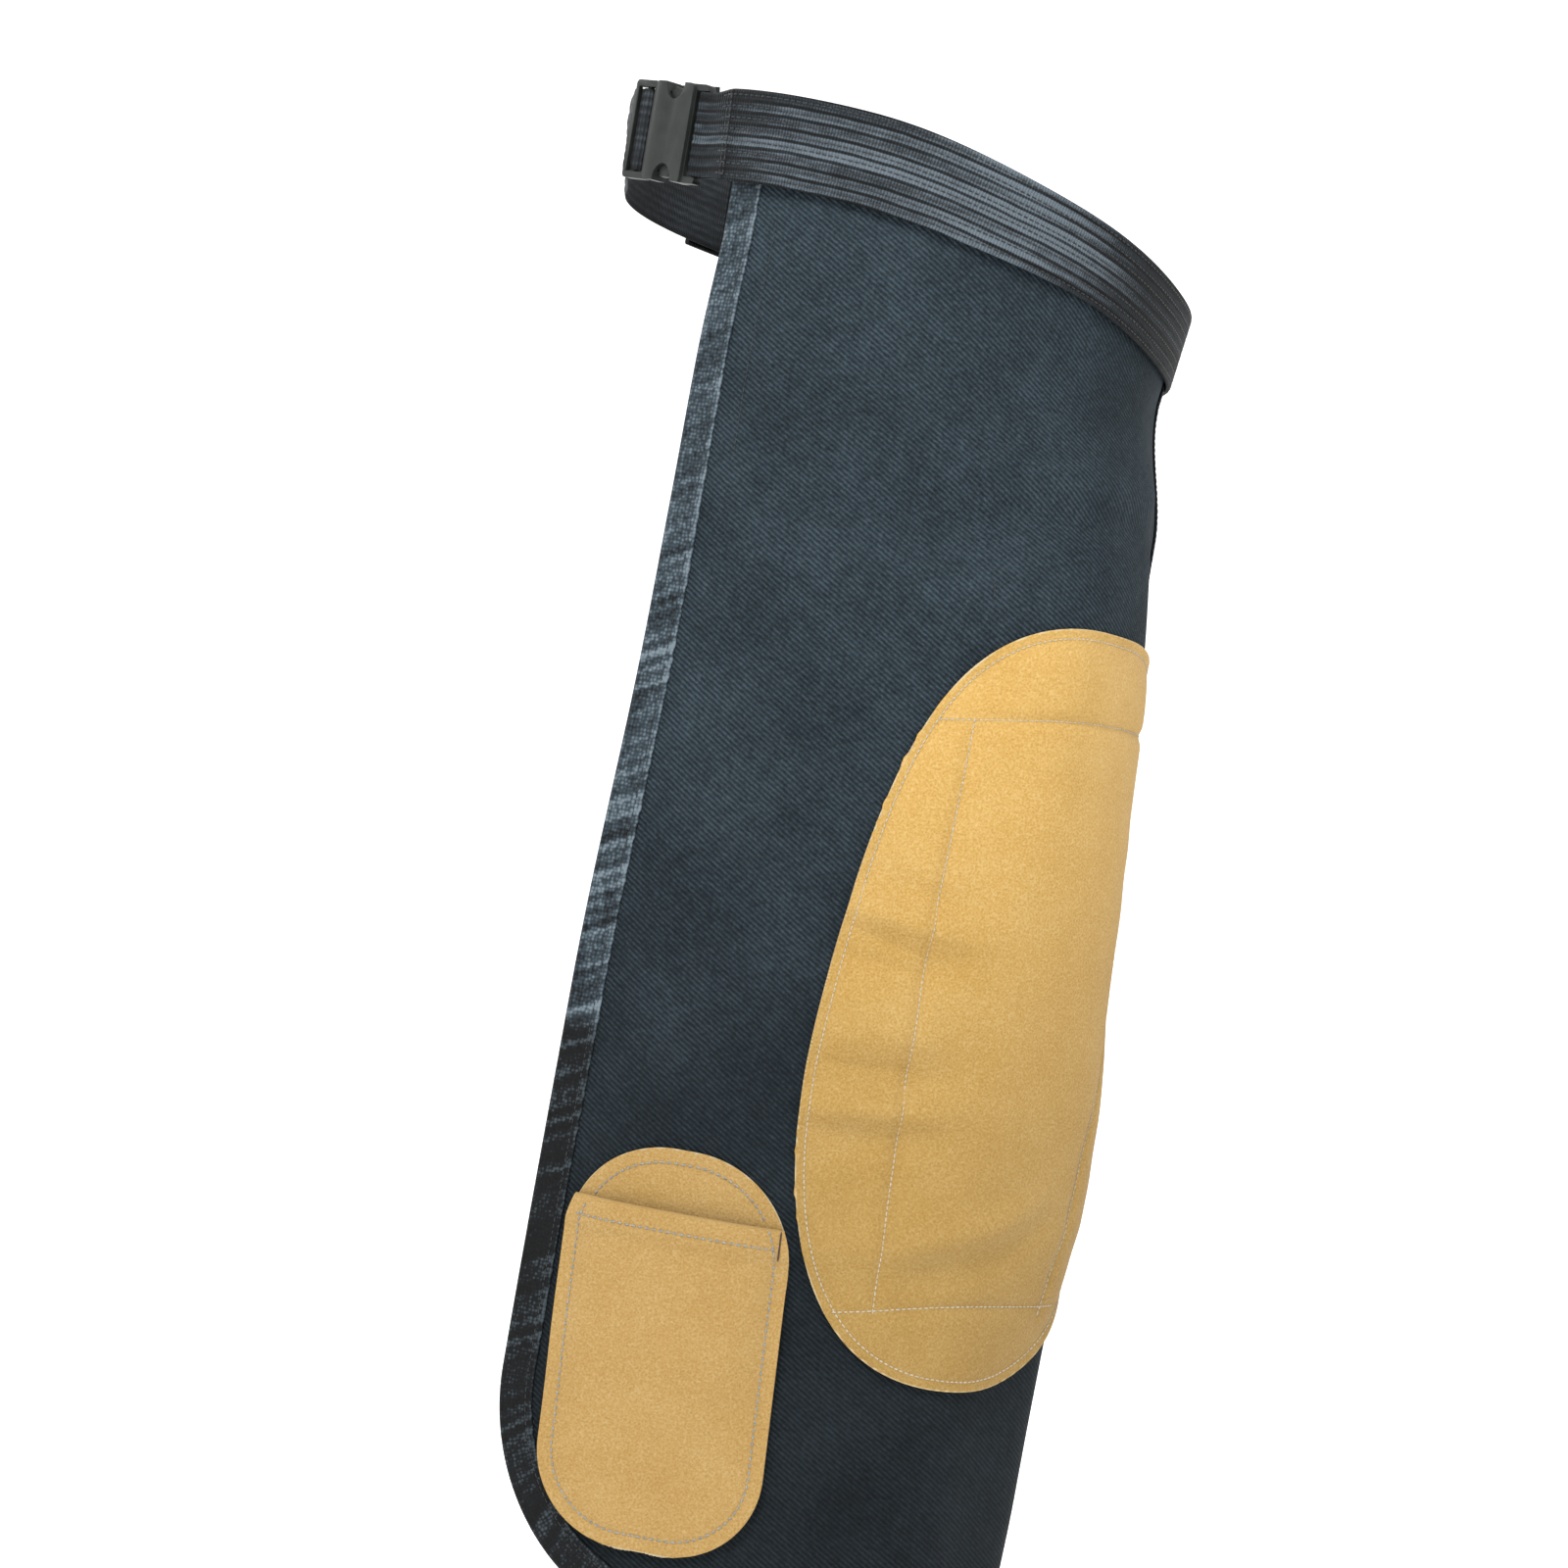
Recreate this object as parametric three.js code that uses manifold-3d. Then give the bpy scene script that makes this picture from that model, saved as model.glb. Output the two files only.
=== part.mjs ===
// A split-leg work apron in its worn shape: a stitched waistband with a side-release
// buckle at the right back, two twill leg panels bound with tape, a leather patch over each
// knee, a leather tool pocket on each shin, and an elastic strap with its own buckle behind
// each leg.
//
// Millimetres, +Z up. The wearer faces -Y, so their right side is -X. The origin is the
// centre of the waistband's ring, where the wearer's waist holds the apron.
//
// Every piece of cloth lies on one surface, given by two coordinates: the distance "along"
// from the outer back edge of a leg panel, going round the front of the leg, and the height
// z. A third value, "out", is the distance from the panel's inner face, away from the leg.
// The right half is modelled, and the left half is its mirror image.
import * as THREE from "three";
import { mergeVertices } from "three/addons/utils/BufferGeometryUtils.js";
import Module from "manifold-3d";

const wasm = await Module();
wasm.setup();

// ---- Driving dimensions ----
const GAP = 0.3; // between two rigid pieces that touch
const LAYER = 1.2; // between two layers of cloth or leather that lie on each other
const WAIST = { halfWidth: 165, halfDepth: 147 };
const HIP_FLARE = 0.045; // how much deeper the panels are below the belt, as a share
const BELT_SIDE = -0.8; // height of the belt's middle line at the wearer's side
const BELT_RISE = 27; // how far the belt climbs from the side to the back
const BELT_DROP = 14.5; // how far it sags below a straight slope, front and back
const BELT_LEAN = 0.13; // outward lean of the belt's upper edge at the front and the back
const BAND = { width: 45, thick: 2.4, loopWidth: 41.6 }; // narrower where it passes through the buckle
const STRAP = { width: 41, thick: 1.5 };
const LEG_STRAP = { width: 25, thick: 1.1, z: -424 };
const PANEL = { thick: 1.6, hem: -707, outerCorner: 108, innerCorner: 60 };
const TAPE = { width: 16, thick: 1.2 };
const LEATHER = 1.4;
const PATCH = { along: 228, z: -387, halfWidth: 106, halfHeight: 187, lean: 0.075 };
const LINING = { from: 160, to: 296, top: -247, bottom: -538, thick: 1.2 };
const POCKET = { along: 77, z: -576, width: 109, height: 192, topRound: 50, bottomRound: 44 };
const POCKET_MOUTH = 30; // below the top of the pocket's backing
const POCKET_LEAN = 0.05; // the pocket's foot leans forward by this share of its height
const POCKET_BULGE = 9.5;
// The cloth folds between these two slanting planes, |x| - z = constant, when a leg swings.
const FOLD = { top: 230, bottom: 330 };
const BELT_BUCKLE_ANGLE = 51; // its place round the waist, from the side towards the back
const BELT_BUCKLE_TURN = -16; // how much further round it faces than the belt does there
const SEAM = 1.2; // the cut between two stretches of one panel
const SPLIT = { top: -200, open: -236, halfGap: 3.2 }; // the slit between the legs
const BELT_BUCKLE_SIZE = { x: 0.7, y: 1, z: 1 };
const LEG_BUCKLE_SIZE = { x: 0.75, y: 0.6, z: 0.8 };

// The panel's plan outline, from the outer back edge round the front to the inner edge:
// as angles on the waist's ellipse at the hips, and as [x, y] points round the leg.
const HIP_ANGLES = [37, 14, -12, -38, -62, -77, -90];
const LEG_OUTLINE = [[-150, 99], [-167, 45], [-172, -25], [-158, -112], [-95, -165], [-33, -112], [-18, -55]];
const BACK_EDGE = 0; // these two places in the outline also follow a side profile
const FRONT = 4;
const BACK_PROFILE = [[-40, 86.5], [-90, 89], [-168, 89.5], [-264, 91], [-407, 96], [-707, 97]];
const FRONT_PROFILE = [[-150, -152], [-240, -153], [-366, -160], [-462, -166], [-560, -158], [-707, -157]];
// The heights between which each place in the outline turns from hip to leg.
const OUTER_TURN = [-60, -230];
const INNER_TURN = [-232, -370];
const LEAN_FADES = [-75, -140]; // the heights between which the belt's lean leaves the cloth

const COLOURS = { twill: 0x37424a, leather: 0xd8b270, band: 0x555f66, tape: 0x59656d, plastic: 0x3e4642 };

// ---- Small helpers ----
const radians = (degrees) => (degrees * Math.PI) / 180;
const mix = (a, b, share) => a + (b - a) * share;

/** 0 at from, 1 at to, with a smooth turn at both. */
function ease(value, from, to) {
  const t = Math.min(1, Math.max(0, (value - from) / (to - from)));
  return t * t * (3 - 2 * t);
}

/** The value at height z on a smooth line through [z, value] pairs, listed from the top. */
function profileAt(pairs, z) {
  if (z >= pairs[0][0]) return pairs[0][1];
  if (z <= pairs.at(-1)[0]) return pairs.at(-1)[1];
  const slopeAt = (k) => {
    const [a, b] = [pairs[Math.max(0, k - 1)], pairs[Math.min(pairs.length - 1, k + 1)]];
    return (b[1] - a[1]) / (b[0] - a[0]);
  };
  const i = pairs.findIndex(([height]) => z >= height);
  const [[z0, v0], [z1, v1]] = [pairs[i - 1], pairs[i]];
  const [span, t] = [z1 - z0, (z - z0) / (z1 - z0)];
  const rise = t * t * (3 - 2 * t);
  return mix(v0, v1, rise) + span * t * (1 - t) * ((1 - t) * slopeAt(i - 1) - t * slopeAt(i));
}

/** n + 1 evenly spaced numbers from a to b. */
const steps = (a, b, n) => Array.from({ length: n + 1 }, (_, i) => mix(a, b, i / n));

/** n + 1 numbers from 0 to radius, close together at 0, as a round corner needs. */
const cornerSteps = (radius, n) => steps(0, 90, n).map((angle) => radius * (1 - Math.cos(radians(angle))));

// ---- The surface that the cloth lies on ----
const rows = new Map();

/** The panel's plan outline at height z, as points with the distance along to each. */
function rowAt(z) {
  const key = z.toFixed(2);
  if (rows.has(key)) return rows.get(key);
  const slit = -mix(GAP / 2, SPLIT.halfGap, ease(z, SPLIT.top, SPLIT.open));
  const knots = HIP_ANGLES.map((angle, i) => {
    const hip = [-WAIST.halfWidth * Math.cos(radians(angle)), WAIST.halfDepth * Math.sin(radians(angle))];
    const leanShift = beltLean(hip[1]) * Math.max(z - beltHeight(hip[1]), -BAND.width / 2 - 5);
    hip[1] = mix(hip[1] - leanShift, hip[1] * (1 + HIP_FLARE), ease(z, ...LEAN_FADES));
    const leg = [...LEG_OUTLINE[i]];
    if (i === FRONT) leg[1] = profileAt(FRONT_PROFILE, z);
    const turn = i > FRONT ? INNER_TURN : OUTER_TURN;
    const share = ease(z, turn[0], turn[1]);
    const y = i === BACK_EDGE ? profileAt(BACK_PROFILE, z) : mix(hip[1], leg[1], share);
    return new THREE.Vector3(Math.min(slit, mix(hip[0], leg[0], share)), y, z);
  });
  const points = new THREE.CatmullRomCurve3(knots, false, "centripetal").getPoints(120);
  const along = [0];
  for (let i = 1; i < points.length; i++) along.push(along[i - 1] + points[i].distanceTo(points[i - 1]));
  const row = { points, along, length: along.at(-1) };
  rows.set(key, row);
  return row;
}

/** The point at a distance along the panel, a height, and a distance out from its inner face. */
function onPanel(along, z, out = 0) {
  const row = rowAt(z);
  let i = row.along.findIndex((d) => d >= along);
  if (i < 0) i = row.points.length - 1;
  i = Math.max(1, i);
  const [a, b] = [row.points[i - 1], row.points[i]];
  const share = (along - row.along[i - 1]) / (row.along[i] - row.along[i - 1]);
  const point = a.clone().lerp(b, share);
  const before = row.points[Math.max(0, i - 3)];
  const after = row.points[Math.min(row.points.length - 1, i + 2)];
  const tangent = after.clone().sub(before).normalize();
  return point.add(new THREE.Vector3(tangent.y, -tangent.x, 0).multiplyScalar(out));
}

/** The height at which the column at a share of the panel's width meets a level, solved by steps. */
function heightWhere(share, level) {
  let z = -150;
  for (let i = 0; i < 12; i++) z = level(onPanel(share * rowAt(z).length, z));
  return z;
}

const beltLean = (y) => -BELT_LEAN * (y / WAIST.halfDepth);
const beltHeight = (y) => BELT_SIDE + BELT_RISE * (y / WAIST.halfDepth) - BELT_DROP * (y / WAIST.halfDepth) ** 2;
const foldHeight = (p, plane) => -p.x - plane;

/** The hem's height above the bottom edge at a distance along it, with its round corners. */
function hemRise(along, length) {
  const corner = (radius, d) => (d < radius ? radius - Math.sqrt(radius ** 2 - (radius - d) ** 2) : 0);
  return corner(PANEL.outerCorner, along) + corner(PANEL.innerCorner, length - along);
}

// ---- Solids ----
/** A closed geometry from equal rings of points, joined in order. Each ring is a strip seen
 * end on: its first half runs one way and its second half runs back. */
function loft(rings) {
  const size = rings[0].length;
  const last = (rings.length - 1) * size;
  const index = [];
  for (let i = 0; i + 1 < rings.length; i++) {
    for (let j = 0; j < size; j++) {
      const [a, b] = [i * size + j, i * size + ((j + 1) % size)];
      // both halves are split along the same diagonals, so that they keep their distance
      if (j < size / 2) index.push(a, b, b + size, a, b + size, a + size);
      else index.push(a, b, a + size, b, b + size, a + size);
    }
  }
  for (let j = 0; j < size / 2 - 1; j++) {
    const [a, b, c, d] = [j, j + 1, size - 2 - j, size - 1 - j];
    index.push(a, d, b, b, d, c, last + a, last + b, last + d, last + b, last + c, last + d);
  }
  const geometry = new THREE.BufferGeometry().setFromPoints(rings.flat());
  geometry.setIndex(index);
  return facingOut(geometry);
}

/** The geometry with its triangles turned round if they face inwards. */
function facingOut(geometry) {
  const { index, attributes } = geometry;
  const corner = (i) => new THREE.Vector3().fromBufferAttribute(attributes.position, index.getX(i));
  let volume = 0;
  for (let i = 0; i < index.count; i += 3) volume += corner(i).dot(corner(i + 1).cross(corner(i + 2)));
  if (volume < 0) {
    for (let i = 0; i < index.count; i += 3) {
      const [b, c] = [index.getX(i + 1), index.getX(i + 2)];
      index.setX(i + 1, c);
      index.setX(i + 2, b);
    }
  }
  return geometry;
}

/** A sheet of cloth or leather. grid holds rows of [along, z], and inner and outer give its
 * two faces' distance out, as numbers or as functions of the row and column. */
function sheet(grid, inner, outer) {
  const at = (value, i, j) => (typeof value === "function" ? value(i, j) : value);
  return loft(
    grid.map((row, i) => {
      const outside = row.map(([along, z], j) => onPanel(along, z, at(outer, i, j)));
      const inside = row.map(([along, z], j) => onPanel(along, z, at(inner, i, j)));
      return [...outside, ...inside.reverse()];
    }),
  );
}

/** A flat strap of a thickness along a path of points. up and width are functions of the
 * point: the direction of the strap's width, and how wide it is there. */
function strap(path, up, width, thick) {
  return loft(
    path.map((point, i) => {
      const tangent = path[Math.min(i + 1, path.length - 1)].clone().sub(path[Math.max(i - 1, 0)]).normalize();
      const face = new THREE.Vector3().crossVectors(up(point), tangent).normalize();
      const across = new THREE.Vector3().crossVectors(tangent, face).normalize();
      const corner = (a, f) =>
        point.clone().addScaledVector(across, (a * width(point)) / 2).addScaledVector(face, (f * thick) / 2);
      return [corner(-1, 1), corner(1, 1), corner(1, -1), corner(-1, -1)];
    }),
  );
}

/** Edge tape folded over the panel's edge. stations hold the edge's [along, z] and the
 * direction [along, z] that points into the cloth. */
function edgeTape(stations) {
  const [width, thick] = [TAPE.width, TAPE.thick];
  const near = [PANEL.thick + LAYER, -LAYER]; // faces of the tape that lie against the panel
  const far = [near[0] + thick, near[1] - thick];
  const spine = [-LAYER, -LAYER - thick];
  const half = width / 2;
  const section = [
    [width, far[0]], [half, far[0]], [spine[1], far[0]], [spine[1], far[1]], [half, far[1]], [width, far[1]],
    [width, near[1]], [half, near[1]], [spine[0], near[1]], [spine[0], near[0]], [half, near[0]], [width, near[0]],
  ];
  return loft(
    stations.map(({ at, into }) =>
      section.map(([depth, out]) => onPanel(at[0] + into[0] * depth, at[1] + into[1] * depth, out)),
    ),
  );
}

// ---- Booleans, used only for the buckles ----
function solidOf(geometry) {
  const bare = geometry.index ? geometry.toNonIndexed() : geometry.clone();
  bare.deleteAttribute("normal");
  bare.deleteAttribute("uv");
  const merged = mergeVertices(bare, 1e-4);
  return new wasm.Manifold(
    new wasm.Mesh({
      numProp: 3,
      vertProperties: merged.attributes.position.array,
      triVerts: new Uint32Array(merged.index.array),
    }),
  );
}

function geometryOf(solid) {
  const made = solid.getMesh();
  const geometry = new THREE.BufferGeometry();
  geometry.setAttribute("position", new THREE.BufferAttribute(new Float32Array(made.vertProperties), 3));
  return geometry.setIndex(new THREE.BufferAttribute(new Uint32Array(made.triVerts), 1));
}

/** A block between two corners. */
function block(low, high) {
  const size = high.map((v, i) => v - low[i]);
  const middle = high.map((v, i) => (v + low[i]) / 2);
  return solidOf(new THREE.BoxGeometry(...size).translate(...middle));
}

/** A flat outline of [x, y] points or a THREE.Shape, given a thickness centred on z = middle. */
function plate(outline, thick, middle = 0) {
  const shape = outline instanceof THREE.Shape ? outline : new THREE.Shape(outline.map((p) => new THREE.Vector2(...p)));
  const made = new THREE.ExtrudeGeometry(shape, { depth: thick, bevelEnabled: false, curveSegments: 3 });
  return solidOf(made.translate(0, 0, middle - thick / 2));
}

/** A round post across the plate's thickness. */
function post(radius, thick, x, y) {
  return solidOf(new THREE.CylinderGeometry(radius, radius, thick, 18).rotateX(Math.PI / 2).translate(x, y, 0));
}

// ---- Side-release buckle ----
// Local axes: x along the strap towards the socket's bar, y across the strap, z outwards.
const BUCKLE = {
  halfWidth: 24.6, halfThick: 5.5, mouth: -23, back: 12, end: 23,
  wall: 2.6, cavityEnd: 8, frameHalfThick: 3, slotHalfWidth: 21.4,
  bar: [19, 22.4], barHalfThick: 1.3,
  notch: { x: -5, radius: 8.6 },
};
const PLUG = {
  face: -23.8, base: -27.0, middleBar: [-36.6, -33.4], endBar: [-45.2, -42.4],
  guideHalfWidth: 5, guideHalfThick: 1.8, guideEnd: 4,
};
const ARM = { halfThick: 2.3 };

function roundedPlate(x0, x1, halfWidth, radius, thick) {
  const shape = new THREE.Shape();
  shape.moveTo(x0 + radius, -halfWidth);
  shape.lineTo(x1 - radius, -halfWidth);
  shape.absarc(x1 - radius, -halfWidth + radius, radius, -Math.PI / 2, 0);
  shape.lineTo(x1, halfWidth - radius);
  shape.absarc(x1 - radius, halfWidth - radius, radius, 0, Math.PI / 2);
  shape.lineTo(x0 + radius, halfWidth);
  shape.absarc(x0 + radius, halfWidth - radius, radius, Math.PI / 2, Math.PI);
  shape.lineTo(x0, -halfWidth + radius);
  shape.absarc(x0 + radius, -halfWidth + radius, radius, Math.PI, 1.5 * Math.PI);
  return plate(shape, thick);
}

/** The half sewn to the strap: a hollow body with a thumb notch each side, and a bar. */
function buckleSocket() {
  const b = BUCKLE;
  const [frame, cavityHalf] = [b.frameHalfThick, b.halfThick - b.wall];
  let body = roundedPlate(b.mouth, b.back, b.halfWidth, 2.5, 2 * b.halfThick);
  body = body.add(roundedPlate(b.back - 8, b.end, b.halfWidth, 2.5, 2 * frame));
  body = body.subtract(
    block([b.mouth - 1, -b.halfWidth + 4.5, -cavityHalf], [b.cavityEnd, b.halfWidth - 4.5, cavityHalf]),
  );
  body = body.subtract(
    block([b.back + 0.6, -b.slotHalfWidth, -b.halfThick], [b.bar[0], b.slotHalfWidth, b.halfThick]),
  );
  for (const side of [-1, 1]) {
    // thins the bar, so that the webbing round it is no thicker than the frame
    body = body.subtract(
      block(
        [b.bar[0] - 1, -b.slotHalfWidth, side > 0 ? b.barHalfThick : -b.halfThick],
        [b.end + 1, b.slotHalfWidth, side > 0 ? b.halfThick : -b.barHalfThick],
      ),
    );
    body = body.subtract(post(b.notch.radius, 3 * b.halfThick, b.notch.x, side * b.halfWidth));
  }
  body = body.subtract(block([b.bar[1], -b.slotHalfWidth, -b.halfThick], [b.end + 1, b.slotHalfWidth, b.halfThick]));
  return geometryOf(body);
}

/** The half on the adjustable strap: a ladder of bars, and a guide that slides into the socket. */
function bucklePlug() {
  const [b, p] = [BUCKLE, PLUG];
  const back = p.endBar[0];
  let body = roundedPlate(back, p.face, b.halfWidth, 2.5, 2 * b.frameHalfThick);
  const slots = [[p.middleBar[1], p.base], [p.endBar[1], p.middleBar[0]]];
  for (const [from, to] of slots) {
    body = body.subtract(block([from, -b.slotHalfWidth, -b.halfThick], [to, b.slotHalfWidth, b.halfThick]));
  }
  const [middle, end] = [p.middleBar, p.endBar];
  // the middle bar is thinned from outside, and the end bar from inside, for the strap's weave
  body = body.subtract(block([middle[0] - 1, -b.slotHalfWidth, 0.8], [middle[1] + 1, b.slotHalfWidth, b.halfThick]));
  body = body.subtract(block([back - 1, -b.slotHalfWidth, -b.halfThick], [end[1] + 1, b.slotHalfWidth, 0.2]));
  body = body.subtract(block([middle[0] - 1, -b.slotHalfWidth, -b.halfThick], [middle[1] + 1, b.slotHalfWidth, -1.8]));
  const guide = [
    [p.face - 1, -p.guideHalfWidth], [p.guideEnd - 3, -p.guideHalfWidth], [p.guideEnd, -p.guideHalfWidth + 2.5],
    [p.guideEnd, p.guideHalfWidth - 2.5], [p.guideEnd - 3, p.guideHalfWidth], [p.face - 1, p.guideHalfWidth],
  ];
  return geometryOf(body.add(plate(guide, 2 * p.guideHalfThick)));
}

/** One spring arm of the plug, with the latch that catches behind the socket's notch. */
function buckleArm(side) {
  const [notch, rim] = [BUCKLE.notch, BUCKLE.halfWidth];
  const [root, latch, tip] = [PLUG.face + 0.9, notch.x - 6.6, notch.x + 8];
  const outline = [
    [root, 11.6], [latch - 0.6, 14.0], [tip - 3, 14.2], [tip, 16.0], [notch.x + 4.5, rim - 4.4],
    [notch.x + 0.5, rim - 2.4], [notch.x - 3.5, rim - 1.9], [latch, rim - 2.8], [latch - 0.6, 17.4], [root, 15.2],
  ].map(([x, y]) => [x, side * y]);
  return geometryOf(plate(side > 0 ? outline : outline.reverse(), 2 * ARM.halfThick));
}

// ---- Materials and nodes ----
const SURFACES = { twill: 0.9, leather: 0.85, band: 0.8, tape: 0.8, plastic: 0.5 };
const materials = Object.fromEntries(
  Object.entries(COLOURS).map(([name, color]) => [
    name,
    new THREE.MeshStandardMaterial({ color, roughness: SURFACES[name], metalness: 0 }),
  ]),
);

function node(name, geometry, material) {
  const mesh = new THREE.Mesh(geometry, materials[material]);
  mesh.name = name;
  return mesh;
}

/** The four pieces of a buckle in a group at a place: { origin, x, y, z } of its local axes. */
function buckle(prefix, place, size) {
  const group = new THREE.Group();
  group.add(node(`${prefix}_buckle_socket`, buckleSocket(), "plastic"));
  group.add(node(`${prefix}_buckle_plug`, bucklePlug(), "plastic"));
  group.add(node(`${prefix}_buckle_arm_upper`, buckleArm(1), "plastic"));
  group.add(node(`${prefix}_buckle_arm_lower`, buckleArm(-1), "plastic"));
  group.matrixAutoUpdate = false;
  group.matrix.makeBasis(place.x, place.y, place.z).setPosition(place.origin);
  group.matrix.multiply(new THREE.Matrix4().makeScale(size.x, size.y, size.z));
  return group;
}

/** A buckle's place from its middle, the direction of its strap and the way it faces. */
function placeOf(origin, along, outwards) {
  const x = along.clone().normalize();
  const y = new THREE.Vector3().crossVectors(outwards, x).normalize();
  const z = new THREE.Vector3().crossVectors(x, y);
  return { origin, x, y, z };
}

const fromPlace = (place, x, y, z) =>
  place.origin.clone().addScaledVector(place.x, x).addScaledVector(place.y, y).addScaledVector(place.z, z);

/** How a strap of a thickness goes round the socket's bar, in the buckle's own x and z:
 * from outside, through the slot, and back along the inside. */
function roundTheBar(thick, size) {
  const clear = GAP + thick / 2 + 0.15;
  const [edge, half] = [BUCKLE.bar[0] * size.x, BUCKLE.barHalfThick * size.z];
  const turn = steps(90, 180, 3).map((angle) => [
    edge + clear * Math.cos(radians(angle)), half + clear * Math.sin(radians(angle)),
  ]);
  const back = turn.map(([x, z]) => [x, -z]).reverse();
  return [[edge + 7, half + clear], ...turn, ...back, [edge + 7, -half - clear]];
}

/** How a strap weaves through the plug's ladder, in the buckle's own x and z: from behind,
 * under the end bar, over the middle bar, and under the base and the socket. */
function throughTheLadder(thick, size) {
  const clear = GAP + thick / 2 + 0.1;
  const [under, over, base] = [0.2 * size.z - clear, 0.8 * size.z + clear, -3 * size.z - clear];
  const body = -BUCKLE.halfThick * size.z - clear;
  const at = (x, z) => [x * size.x, z];
  return [
    at(-51, under - 0.7), at(-47, under - 0.2), at(PLUG.endBar[0], under), at(PLUG.endBar[1], under),
    at(-39.6, mix(under, over, 0.5)), at(PLUG.middleBar[0], over), at(PLUG.middleBar[1] + 0.4, over),
    at(-30.6, mix(over, base, 0.4)), at(PLUG.base - 0.5, base - 0.1), at(PLUG.base + 1, base - 0.5),
    at(PLUG.face - 0.8, body - 0.3), at(PLUG.face + 3, body - 0.7),
  ];
}

// ---- Waistband, back strap and belt buckle ----
const LOOP_STEP = 1.5; // between the rings of a strap where it turns tightly

/** A point on the belt's ring. The angle is from the right side, positive towards the back. */
function onBelt(angle, out) {
  const [c, s] = [Math.cos(radians(angle)), Math.sin(radians(angle))];
  const point = new THREE.Vector3(-WAIST.halfWidth * c, WAIST.halfDepth * s, 0);
  const normal = new THREE.Vector3(-c / WAIST.halfWidth, s / WAIST.halfDepth, 0).normalize();
  point.addScaledVector(normal, out);
  point.z = beltHeight(point.y);
  return point;
}

const beltUp = (p) => new THREE.Vector3(0, -beltLean(p.y), 1).normalize();

/** The direction of a strap's width that turns into a buckle's own near the buckle. */
const squareTo = (place, up) => (p) => place.y.clone().lerp(up(p), ease(p.distanceTo(place.origin), 34, 60));

function beltBucklePlace() {
  const origin = onBelt(BELT_BUCKLE_ANGLE, 6);
  const faces = BELT_BUCKLE_ANGLE + BELT_BUCKLE_TURN;
  const along = onBelt(faces - 1, 6).sub(onBelt(faces + 1, 6));
  const across = new THREE.Vector3().crossVectors(along, beltUp(origin));
  return placeOf(origin, along, across);
}

/** The path smoothed through a few points, in pieces about step apart. */
function smoothPath(points, step) {
  const curve = new THREE.CatmullRomCurve3(points, false, "centripetal");
  return curve.getSpacedPoints(Math.ceil(curve.getLength() / step));
}

function belt() {
  const place = beltBucklePlace();
  const group = buckle("belt", place, BELT_BUCKLE_SIZE);
  const up = squareTo(place, beltUp);
  const bandWidth = (p) => mix(BAND.loopWidth, BAND.width, ease(p.distanceTo(place.origin), 23, 40));
  const out = PANEL.thick + LAYER + 0.5 + BAND.thick / 2;
  const loop = roundTheBar(BAND.thick, BELT_BUCKLE_SIZE).map(([x, z]) => fromPlace(place, x, 0, z));
  // the sewn-back end, the turn round the bar, and the band round the hips to the left back
  const sewnBack = onBelt(41, PANEL.thick - BAND.thick / 2 - GAP);
  const start = smoothPath([sewnBack, ...[...loop].reverse(), onBelt(38, out + 0.6)], LOOP_STEP);
  const ring = steps(36, -232, 42).map((angle) => onBelt(angle, out));
  const band = node("waistband", strap([...start, ...ring], up, bandWidth, BAND.thick), "band");

  const weave = throughTheLadder(STRAP.thick, BELT_BUCKLE_SIZE).map(([x, z]) => fromPlace(place, x, 0, z));
  const inside = -BUCKLE.halfThick - GAP - STRAP.thick / 2;
  const tail = [[-14, 3, inside - 0.9], [0, 4.5, inside - 1.3], [14, 5, inside - 1.6]];
  const under = PANEL.thick - STRAP.thick / 2 - 0.1;
  const back = steps(-223, -281, 14).map((angle) => onBelt(angle, mix(under, 4, ease(angle, -240, -281))));
  const woven = smoothPath([...weave, ...tail.map((p) => fromPlace(place, ...p))], LOOP_STEP);
  const strapPath = [...back, ...woven];
  return [group, band, node("back_strap", strap(strapPath, up, () => STRAP.width, STRAP.thick), "band")];
}

// ---- One leg ----
/** Rows of [along, z] between two heights given for each column share. */
function panelGrid(shares, top, bottom, rowCount) {
  const ends = shares.map((share) => [top(share), bottom(share)]);
  return steps(0, 1, rowCount).map((down) =>
    shares.map((share, j) => {
      const z = mix(ends[j][0], ends[j][1], down);
      return [share * rowAt(z).length, z];
    }),
  );
}

function legPanels(side) {
  const width = rowAt(PANEL.hem).length;
  const outer = cornerSteps(PANEL.outerCorner, 4).map((d) => d / width);
  const inner = cornerSteps(PANEL.innerCorner, 4).map((d) => 1 - d / width).reverse();
  const shares = [...outer, ...steps(outer.at(-1), inner[0], 24).slice(1, -1), ...inner];
  const belowBelt = (share) => heightWhere(share, (p) => beltHeight(p.y) + 10);
  const plane = (level) => (share) => heightWhere(share, (p) => foldHeight(p, level));
  const hem = (share) => PANEL.hem + hemRise(share * width, width);
  const made = (top, bottom, rowCount) => sheet(panelGrid(shares, top, bottom, rowCount), 0, PANEL.thick);
  return [
    node(`${side}_panel_hip`, made(belowBelt, plane(FOLD.top - SEAM), 4), "twill"),
    node(`${side}_panel_fold`, made(plane(FOLD.top), plane(FOLD.bottom), 11), "twill"),
    node(`${side}_panel_leg`, made(plane(FOLD.bottom + SEAM), hem, 18), "twill"),
  ];
}

/** Stations down the outer edge between two heights. */
const outerEdge = (from, to, n) => steps(from, to, n).map((z) => ({ at: [0, z], into: [1, 0] }));

/** Stations up the inner edge between two heights. */
function innerEdge(from, to, n) {
  return steps(from, to, n).map((z) => {
    const slope = (rowAt(z + 1).length - rowAt(z - 1).length) / 2;
    const size = Math.hypot(1, slope);
    return { at: [rowAt(z).length, z], into: [-1 / size, slope / size] };
  });
}

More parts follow.
